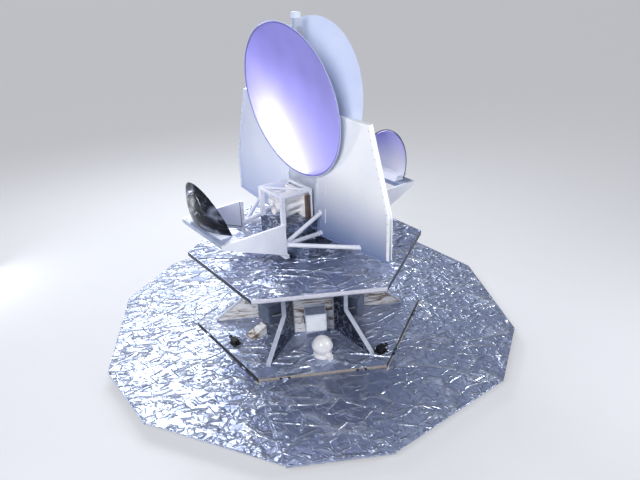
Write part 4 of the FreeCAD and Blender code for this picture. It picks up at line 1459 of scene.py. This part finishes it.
        # The slate covers on the box tops are painted shade from the deck above.
        merged("box_covers", covers, SLATE_PAINT)
        merged("box_connectors", plugs, CONNECTOR_SHELL)
        merged("box_conduits", conduits, CABLE_JACKET, True)
        screws("box_screws", spots, self.head_scale)

    def dress(self) -> None:
        """Give the bus's nodes their finishes."""
        # The pale fin cap paint on the radial fins is a painted highlight of the fins' lit edges.
        dress({"lower_deck": DARK_EDGE, "upper_deck": EDGE_TAPE, "hub": HUB_BLANKET, "radial_fins": FIN_CAP,
               "propellant_tank": TANK_SHELL, "harness_wedge": HUB_BLANKET, "thruster_pods": THRUSTER_BLACK,
               "separation_ring": RING_ALLOY})
        # Boxes 4 and 6, on the shaded side, are painted slate all over as painted shade.
        dress({"bay_box_%d" % i: SHADED_BOX_PAINT if i in self.shaded_boxes else BOX_PAINT for i in range(1, 7)})


@dataclass(frozen=True)
class Dish:
    """Coated face of a dish, laid in the hollow of its shell, which opens to +X where hollow is 1.

    The tilt is in degrees. A shell may be cut level at a height.
    """

    half_up: float
    half_side: float
    sag: float
    lip: float
    tilt: float
    centre: tuple[float, float, float]
    hollow: float
    cut: float | None = None
    rings: int = 40
    sides: int = 144
    skin: tuple[float, float] = (0.0008, -0.0006)
    edge: float = 0.001

    def skins(self) -> tuple[list[Vector], list[tuple[int, ...]]]:
        """Work out the two skins of the face and the band that closes them.

        Returns:
            Corners and faces, hollow side towards +X.
        """
        reach = self.half_up - self.lip
        curve = (reach ** 2 + self.sag ** 2) / (2.0 * self.sag)
        stretch = self.half_side / self.half_up
        corners: list[Vector] = []
        faces: list[tuple[int, ...]] = []
        for lift in self.skin:
            base = len(corners)
            corners.append(Vector((self.sag - lift, 0.0, 0.0)))
            for k in range(1, self.rings + 1):
                r = (reach - self.edge) * k / self.rings
                depth = self.sag - curve + math.sqrt(curve ** 2 - r ** 2) - lift
                corners += [Vector((depth, r * stretch * math.cos(a), r * math.sin(a)))
                            for a in (2.0 * math.pi * i / self.sides for i in range(self.sides))]
            way = -1 if lift > 0.0 else 1
            for i in range(self.sides):
                j = (i + 1) % self.sides
                faces.append((base, base + 1 + i, base + 1 + j)[::way])
                for k in range(self.rings - 1):
                    a, b = base + 1 + k * self.sides, base + 1 + (k + 1) * self.sides
                    faces.append((a + i, b + i, b + j, a + j)[::way])
        outer = 1 + (self.rings - 1) * self.sides
        under = outer + 1 + self.rings * self.sides
        for i in range(self.sides):
            j = (i + 1) % self.sides
            faces.append((outer + i, outer + j, under + j, under + i))
        return corners, faces

    def face(self, name: str, mirror: bool) -> Piece:
        """Build the face in its place, cut level where its shell is, its faces outwards.

        Args:
            name: Name of the piece.
            mirror: Whether it is the -X one.

        Returns:
            The new piece.
        """
        piece = mesh_piece(name, *self.skins())
        flip = Matrix.Scale(-1.0, 4, Vector((1.0, 0.0, 0.0)))
        place = Matrix.Rotation(math.radians(self.tilt), 4, "Y")
        if self.hollow > 0.0:
            place = place @ flip
        place = Matrix.Translation(self.centre) @ place
        if mirror:
            place = flip @ place
        piece.data.transform(place)
        mesh = bmesh.new()
        mesh.from_mesh(piece.data)
        if self.cut is not None:
            bmesh.ops.bisect_plane(mesh, geom=[*mesh.verts, *mesh.edges, *mesh.faces],
                                   plane_co=(0.0, 0.0, self.cut), plane_no=(0.0, 0.0, -1.0),
                                   clear_outer=True)
            bmesh.ops.holes_fill(mesh, edges=[e for e in mesh.edges if e.is_boundary], sides=0)
        bmesh.ops.recalc_face_normals(mesh, faces=list(mesh.faces))
        mesh.to_mesh(piece.data)
        mesh.free()
        return piece


@dataclass
class Optics:
    """The four dishes: their coated faces, and the finishes of their shells and of what holds them."""

    primary: Dish = Dish(0.860, 0.872, 0.075, 0.010, 7.5, (0.148, 0.0, 2.900), 1.0)
    secondary: Dish = Dish(0.470, 0.417, 0.118, 0.012, 18.4, (1.229, 0.0, 1.840), -1.0, 1.7958, 24, 96)

    def faces(self) -> None:
        """Lay the coated faces in the dishes."""
        for label, mirror in (("b", False), ("a", True)):
            finished(self.primary.face("primary_face_" + label, mirror), MIRROR, smooth=True)
            finished(self.secondary.face("secondary_face_" + label, mirror), SMALL_MIRROR, smooth=True)

    def dress(self) -> None:
        """Give the nodes of both sides their finishes."""
        finishes = {"primary_": DISH_BACK_PAINT, "primary_pads_": BRACKET_ALLOY, "secondary_": DOME_FILM,
                    "secondary_cradle_": SUPPORT_PAINT, "crossbar_": SHELF_PAINT,
                    "support_plates_": SUPPORT_PAINT, "focal_frame_": FRAME_PAINT, "feed_horns_": HORN_ALLOY,
                    "receiver_box_": CASE_BROWN}
        for label in ("a", "b"):
            dress({node + label: finish for node, finish in finishes.items()})


@dataclass
class Instrument:
    """Core blanket, the radiators' rim screws and strips, and the finishes of what stands on the deck."""

    core_x: float = 0.460
    core_y: float = 0.262
    core_margins: tuple[float, float] = (0.002, 0.018)
    core_edge: float = 0.004
    core_film: Crumple = Crumple(0.011, 0.0015, 0.008, 0.09, 0.025)
    radiator: tuple[tuple[float, float], ...] = ((0.265, 1.365), (1.457, 1.470), (1.457, 1.965),
                                                 (1.155, 2.858), (0.265, 2.858))
    rim_half: float = 0.028
    rim_depth: float = 0.026
    bolt_pitch: float = 0.085
    strips: tuple[tuple[float, float, float, float], ...] = ((-0.429, 2.047, -0.422, 1.890),
                                                             (-0.414, 1.742, -0.406, 1.564))
    strip_half: float = 0.007
    strip_thick: float = 0.001
    strip_seat: float = 0.013
    strip_bevel: float = 0.0006

    def films(self) -> None:
        """Wrap the four sides of the instrument's core."""
        x, y = self.core_x, self.core_y
        low, high = CORE_LOW + self.core_margins[0], CORE_TOP - self.core_margins[1]
        for label, start, end, way in (
                ("right", (x, y), (-x, y), (0.0, 1.0)), ("left", (-x, -y), (x, -y), (0.0, -1.0)),
                ("front", (x, -y), (x, y), (1.0, 0.0)), ("back", (-x, y), (-x, -y), (-1.0, 0.0))):
            normal = Vector((*way, 0.0))
            face = inset(upright(Vector(start), Vector(end), low, high), self.core_edge, normal)
            film_sheet("core_blanket_" + label, face, normal, CORE_BLANKET, self.core_film, end[0] * 9.0)

    def rim_screws(self) -> None:
        """Set screws along both faces of the radiators' rims, on three sides."""
        outline = [Vector((0.0, y, z)) for y, z in self.radiator]
        middle = inset(outline, self.rim_depth / 2.0, Vector((1.0, 0.0, 0.0)))
        spots: list[Spot] = []
        for a, b in zip(middle[:3], middle[1:4]):
            count = int((b - a).length / self.bolt_pitch)
            for k in range(count):
                p = a + (b - a) * (k + 0.5) / count
                spots += [Spot(Vector((sx * self.rim_half, sy * p.y, p.z)), Vector((sx, 0.0, 0.0)), UP)
                          for sx, sy in QUARTERS]
        screws("radiator_rim_screws", spots)

    def radiator_strips(self) -> None:
        """Add the narrow white strips that run down the radiators beside the focal plane."""
        strips: list[Piece] = []
        for y0, z0, y1, z1 in self.strips:
            for sx, sy in QUARTERS:
                strip = block("strip", (-self.strip_thick, -self.strip_half, 0.0),
                              (self.strip_thick, self.strip_half, z0 - z1), self.strip_bevel)
                lean = Matrix.Rotation(-sy * math.atan2(y1 - y0, z0 - z1), 4, "X")
                strips.append(moved(strip, Matrix.Translation((sx * self.strip_seat, -sy * y1, z1)) @ lean))
        merged("radiator_strips", strips, FRAME_PAINT)

    def dress(self) -> None:
        """Give the instrument's nodes their finishes."""
        dress({"isolation_cylinder": CORE_BLANKET, "base_frame": FRAME_PAINT,
               "instrument_core": CORE_BLANKET, "struts": FRAME_PAINT, "radiator_left": RADIATOR_PAINT,
               "radiator_right": LEFT_RADIATOR_PAINT, "spine": SPINE_PAINT, "top_antenna": BOX_PAINT})


@dataclass
class Fittings:
    """Small hardware of the instrument, the thruster pods and the ring."""

    strut_node: tuple[float, float, float] = (0.594, 0.410, 1.482)
    strut_ends: tuple[tuple[float, float], ...] = ((0.310, 1.659), (0.310, 1.402), (0.989, 1.470))
    sheet_half: float = 0.012
    sleeve_from: float = 0.030
    sleeve_back: float = 0.026
    sleeve_clear: float = 0.016
    foot_thick: float = 0.004
    foot_circle: float = 0.0335
    foot_screws: int = 6
    frame_x: tuple[float, float] = (0.480, 0.060)
    frame_y: float = 0.235
    frame_z: float = 1.950
    gusset: float = 0.070
    gusset_nose: float = 0.026
    gusset_thick: float = 0.003
    gusset_screws: tuple[tuple[float, float], ...] = ((0.013, 0.013), (0.048, 0.013), (0.013, 0.048))
    horn_front: float = 0.386
    horn_rows: tuple[tuple[float, tuple[float, ...]], ...] = (
        (1.868, (-0.140, 0.0, 0.140)), (1.765, (-0.140, 0.0, 0.140)), (1.664, (-0.090, 0.090)))
    lip_circle: float = 0.0475
    lip_screws: int = 8
    plate_y: float = 0.434
    plate_inner: float = 0.594
    plate_tip: float = 1.360
    plate_top: float = 1.740
    tip_depth: float = 0.048
    tip_setback: float = 0.050
    flange: tuple[float, float] = (0.030, 0.012)
    post: tuple[float, float] = (0.034, 0.018)
    gap: tuple[float, float] = (0.007, 0.0012)
    gap_lift: float = 0.001
    gap_start: float = 0.010
    gap_end: float = 0.004
    flange_row: tuple[float, float, int] = (0.060, 0.070, 9)
    post_row: tuple[float, float, int] = (0.070, 0.065, 5)
    pods: tuple[tuple[float, float], ...] = ((178.6, 1.104), (276.0, 1.213))
    pod_tube: tuple[tuple[float, float, float], ...] = (
        (-0.034, 0.022, 0.048), (-0.060, 0.024, 0.050), (-0.078, 0.028, 0.036), (-0.080, 0.030, 0.010),
        (-0.080, 0.030, 0.001))
    tube_radius: float = 0.0035
    valve: tuple[tuple[float, float, float], ...] = ((-0.045, -0.014, 0.020), (-0.034, 0.014, 0.040))
    valve_bevel: float = 0.002
    pod_screw: tuple[float, float, float] = (0.048, 0.058, 0.008)
    ring_circle: float = 0.490
    ring_foot: float = 0.012
    ring_bolts: int = 24
    flange_circle: float = 0.472
    flange_heights: tuple[float, float] = (UPPER_TOP + 0.010, 1.320)
    flange_screws: int = 36
    foot_head: float = 0.5
    gusset_head: float = 0.7
    lip_head: float = 0.28
    plate_head: float = 0.8
    pod_head: float = 0.9
    cylinder_head: float = 1.2

    @staticmethod
    def circle(centre: Vector, radius: float, count: int, sign: float) -> list[Spot]:
        """Spots on an upright circle that faces +X or -X.

        Args:
            centre: Middle of the circle.
            radius: Its radius.
            count: Number of spots.
            sign: 1 where it faces +X, or -1.

        Returns:
            The spots.
        """
        turns = [2.0 * math.pi * i / count for i in range(count)]
        return [Spot(centre + Vector((0.0, math.cos(t), math.sin(t))) * radius, Vector((sign, 0.0, 0.0)), UP)
                for t in turns]

    def struts(self) -> None:
        """Put a sleeve on both ends of every strut and a screwed foot where it meets the radiator."""
        sleeves: list[Spot] = []
        feet: list[Spot] = []
        heads: list[Spot] = []
        for sx, sy in QUARTERS:
            x, y, z = self.strut_node
            node = Vector((sx * x, sy * y, z))
            out = Vector((sx, 0.0, 0.0))
            for y, z in self.strut_ends:
                end = Vector((0.0, sy * y, z))
                way = (end - node).normalized()
                sleeves.append(Spot(node + way * self.sleeve_from, way, UP))
                back = self.sleeve_clear / abs(way.x) + self.sleeve_back
                sleeves.append(Spot(end - way * back, -way, UP))
                seat = end + out * self.sheet_half
                feet.append(Spot(seat, out, UP))
                heads += self.circle(seat + out * self.foot_thick, self.foot_circle, self.foot_screws, sx)
        scatter("strut_sleeves", sleeves, Turned.SLEEVE.model(), FRAME_PAINT)
        scatter("strut_feet", feet, Turned.FOOT.model(), FRAME_PAINT)
        screws("strut_foot_screws", heads, self.foot_head)

    def focal_frames(self) -> None:
        """Screw gussets to the upper corners of the focal frames and screws round the horns' lips."""
        plates: list[Piece] = []
        heads: list[Spot] = []
        for sx, sy in QUARTERS:
            for x, back in zip(self.frame_x, (-1.0, 1.0)):
                p = Vector((sx * x, sy * self.frame_y, self.frame_z))
                step = Vector((sx * back, 0.0, 0.0))
                push = Vector((0.0, sy * self.gusset_thick, 0.0))
                drop = UP * self.gusset
                outline = [p, p + step * self.gusset, p + step * self.gusset_nose - drop, p - drop]
                plates.append(prism("gusset", outline, push))
                heads += [Spot(p + step * along - UP * down + push, Vector((0.0, sy, 0.0)), UP)
                          for along, down in self.gusset_screws]
        merged("focal_frame_gussets", plates, FRAME_PAINT)
        screws("gusset_screws", heads, self.gusset_head)
        lips: list[Spot] = []
        for sx in SIGNS:
            for y, z in ((y, z) for z, places in self.horn_rows for y in places):
                centre = Vector((sx * self.horn_front, y, z))
                lips += self.circle(centre, self.lip_circle, self.lip_screws, sx)
        screws("horn_lip_screws", lips, self.lip_head)

    def wedge_flanges(self) -> None:
        """Line the inner faces of the wedge plates with flanges, their shadow gaps and screws."""
        inner, end, top = self.plate_inner, self.plate_tip - self.tip_setback, self.plate_top
        slope = (top - self.tip_depth - CORE_LOW) / (self.plate_tip - inner)
        wide, flange_thick = self.flange
        post_wide, post_thick = self.post
        gap, gap_thick = self.gap
        post = inner + post_wide

        def edge(x: float, rise: float) -> tuple[float, float]:
            """A point of the inner face, this far above the plate's lower edge."""
            return x, CORE_LOW + (x - inner) * slope + rise

        shapes = {
            "flange": ([edge(inner, 0.0), edge(end, 0.0), edge(end, wide), edge(inner, wide)], flange_thick),
            "post": ([edge(inner, wide), edge(post, wide), (post, top), (inner, top)], post_thick),
            "gap_line": ([edge(post, wide + self.gap_lift), edge(end, wide), edge(end, wide + gap),
                          edge(post, wide + self.gap_lift + gap)], gap_thick),
            "gap_post": ([edge(post, wide + self.gap_start), edge(post + gap, wide + self.gap_start),
                          (post + gap, top - self.gap_end), (post, top - self.gap_end)], gap_thick)}
        first, pitch, count = self.flange_row
        heads = [(*edge(inner + first + pitch * k, wide / 2.0), flange_thick) for k in range(count)]
        first, pitch, count = self.post_row
        heads += [(inner + post_wide / 2.0, CORE_LOW + first + pitch * k, post_thick) for k in range(count)]
        flanges: list[Piece] = []
        gaps: list[Piece] = []
        spots: list[Spot] = []
        for sx, sy in QUARTERS:
            inward = Vector((0.0, -sy, 0.0))
            for name, (outline, thick) in shapes.items():
                corners = [(sx * x, sy * self.plate_y, z) for x, z in outline]
                (gaps if name.startswith("gap") else flanges).append(prism(name, corners, inward * thick))
            spots += [Spot(Vector((sx * x, sy * self.plate_y, z)) + inward * seat, inward, UP)
                      for x, z, seat in heads]
        merged("wedge_plate_flanges", flanges, FRAME_PAINT)
        # The gap strips are dark sheets that stand in for the shadow in the gaps: painted shadow.
        merged("wedge_plate_gaps", gaps, DARK_EDGE)
        screws("wedge_plate_screws", spots, self.plate_head)

    def thrusters(self) -> None:
        """Add tubes, a valve connector and screws to each thruster pod."""
        tubes: list[Piece] = []
        shells: list[Piece] = []
        spots: list[Spot] = []
        x, y, z = self.pod_screw
        for (angle, radius), opposite in ((pod, turn) for pod in self.pods for turn in (0.0, 180.0)):
            place = about_z(angle + opposite) @ Matrix.Translation((radius, 0.0, DECK_TOP))
            for side in SIGNS:
                path = [(px, side * py, pz) for px, py, pz in self.pod_tube]
                tubes.append(moved(rod("tube", path, self.tube_radius), place))
                spots += [Spot(place @ Vector((sx * x, side * y, z)), UP) for sx in SIGNS]
            shells.append(moved(block("valve", *self.valve, self.valve_bevel), place))
        merged("thruster_tubes", tubes, NOZZLE_ALLOY, True)
        merged("thruster_connectors", shells, CONNECTOR_SHELL)
        screws("thruster_plate_screws", spots, self.pod_head)

    def ring(self) -> None:
        """Set the bolts of the separation ring and the screws of the isolation cylinder's flanges."""
        bolts = [Spot(around((self.ring_circle, 0.0, self.ring_foot), 360.0 * i / self.ring_bolts), UP)
                 for i in range(self.ring_bolts)]
        scatter("ring_bolts", bolts, Turned.HEX_BOLT.model(), FASTENER_STEEL)
        low, high = self.flange_heights
        spots = [Spot(around((self.flange_circle, 0.0, z), 360.0 * (i + 0.5) / self.flange_screws), up)
                 for i in range(self.flange_screws) for z, up in ((low, UP), (high, -UP))]
        screws("cylinder_flange_screws", spots, self.cylinder_head)


@dataclass
class Studio:
    """Floor, lamps, world and the camera at the photograph's viewing angle.

    A lamp is its name, its place, what it faces, its width and height in metres and its power in watts.
    """

    floor_half: float = 90.0
    camera_place: tuple[float, float, float] = (-3.773, -5.352, 4.442)
    azimuth: float = -36.6007
    elevation: float = 26.4572
    roll: float = -2.1953
    lens: float = 33.684
    sensor: float = 36.0
    clip_end: float = 400.0
    lamps: tuple[tuple, ...] = (
        ("left_panel", (-3.45, 4.27, 0.5), (0.0, 0.3, 2.6), (0.5, 0.75), 30.0),
        ("back_panel", (2.2, 4.4, 4.6), (0.2, 0.6, 2.2), (1.2, 1.2), 120.0),
        ("right_panel", (3.2, -5.2, 3.2), (0.9, -0.4, 1.5), (1.6, 1.6), 120.0),
        ("far_panel", (0.2, 5.6, 6.1), (-1.7, -1.2, 0.2), (4.2, 3.8), 400.0),
        ("front_panel", (-6.0, -4.6, 6.0), (0.0, 0.0, 1.8), (3.0, 3.0), 480.0),
    )
    sheen_side: tuple[float, float, float] = (0.21, 0.75, 0.63)
    sheen: tuple[tuple[float, str], ...] = (
        (0.0, "5c6273"), (0.45, "333845"), (0.7, "4d5467"), (0.82, "8a92a7"), (0.9, "b9c1d1"),
        (0.96, "dee3ed"), (1.0, "f8f9fc"))
    backdrop: str = "b7babf"
    backdrop_z: tuple[float, float] = (0.1, 0.2)

    def build(self) -> None:
        """Build all of it."""
        self.floor()
        self.world()
        self.camera()
        for lamp in self.lamps:
            self.lamp(*lamp)

    def floor(self) -> None:
        """Lay a wide plain floor."""
        h = self.floor_half
        corners = [(-h, -h, 0.0), (h, -h, 0.0), (h, h, 0.0), (-h, h, 0.0)]
        piece = mesh_piece("studio_floor", corners, [(0, 1, 2, 3)])
        piece.data.materials.append(STUDIO_FLOOR.material())

    def lamp(self, name: str, place: Sequence[float], target: Sequence[float], size: tuple[float, float],
             power: float) -> None:
        """Hang a soft panel lamp that the camera doesn't see.

        Args:
            name: Name of the lamp.
            place: Where it hangs.
            target: What it faces.
            size: Width and height in metres.
            power: Power in watts.
        """
        data = bpy.data.lights.new(name, "AREA")
        data.shape = "RECTANGLE"
        data.size, data.size_y = size
        data.energy = power
        piece = linked(name, data)
        piece.location = place
        piece.rotation_euler = (Vector(target) - Vector(place)).to_track_quat("-Z", "Y").to_euler()
        piece.visible_camera = False

    def world(self) -> None:
        """Light the room: pale near the floor, and above it brightest where the film's sheen comes from."""
        world = bpy.data.worlds.new("studio_world")
        world.use_nodes = True
        tree = world.node_tree
        tree.nodes.clear()
        way = add(tree, "ShaderNodeTexCoord").outputs["Generated"]
        facing = add(tree, "ShaderNodeVectorMath", {1: self.sheen_side}, {0: way}, operation="DOT_PRODUCT")
        sheen = add(tree, "ShaderNodeValToRGB", None, {"Fac": facing.outputs["Value"]}, self.sheen)
        parts = add(tree, "ShaderNodeSeparateXYZ", None, {0: way})
        low, high = self.backdrop_z
        above = add(tree, "ShaderNodeMapRange", {"From Min": low, "From Max": high},
                    {"Value": parts.outputs["Z"]}, interpolation_type="SMOOTHSTEP")
        colour = add(tree, "ShaderNodeMix", {6: srgb(self.backdrop)}, {0: above, 7: sheen}, data_type="RGBA")
        back = add(tree, "ShaderNodeBackground", {"Strength": 1.0}, {"Color": colour.outputs[2]})
        add(tree, "ShaderNodeOutputWorld", None, {"Surface": back})
        bpy.context.scene.world = world

    def camera(self) -> None:
        """Place the camera at the photograph's viewing angle."""
        az, el, roll = (math.radians(v) for v in (self.azimuth, self.elevation, self.roll))
        right = Vector((math.cos(az), math.sin(az), 0.0))
        back = Vector((math.sin(az) * math.cos(el), -math.cos(az) * math.cos(el), math.sin(el)))
        up = back.cross(right)
        level = Matrix((right * math.cos(roll) + up * math.sin(roll),
                        up * math.cos(roll) - right * math.sin(roll), back)).transposed()
        data = bpy.data.cameras.new("photo_camera")
        data.lens = self.lens
        data.sensor_width = self.sensor
        data.clip_end = self.clip_end
        piece = linked("photo_camera", data)
        piece.matrix_world = Matrix.Translation(self.camera_place) @ level.to_4x4()
        bpy.context.scene.camera = piece


def main() -> None:
    """Build the studio and the assemblies in order."""
    logging.basicConfig(level=logging.INFO, format="%(message)s")
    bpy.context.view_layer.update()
    bpy.context.scene.view_settings.view_transform = "Standard"
    Studio().build()
    shield, bus, optics, instrument, fittings = FoldingShield(), Bus(), Optics(), Instrument(), Fittings()
    for step in (shield.films, shield.cells, shield.dress, bus.films, bus.boxes, bus.dress, optics.faces,
                 optics.dress, instrument.films, instrument.rim_screws, instrument.radiator_strips,
                 instrument.dress, fittings.struts, fittings.focal_frames, fittings.wedge_flanges,
                 fittings.thrusters, fittings.ring):
        step()
    Turned.discard()


if __name__ == "__main__":
    main()
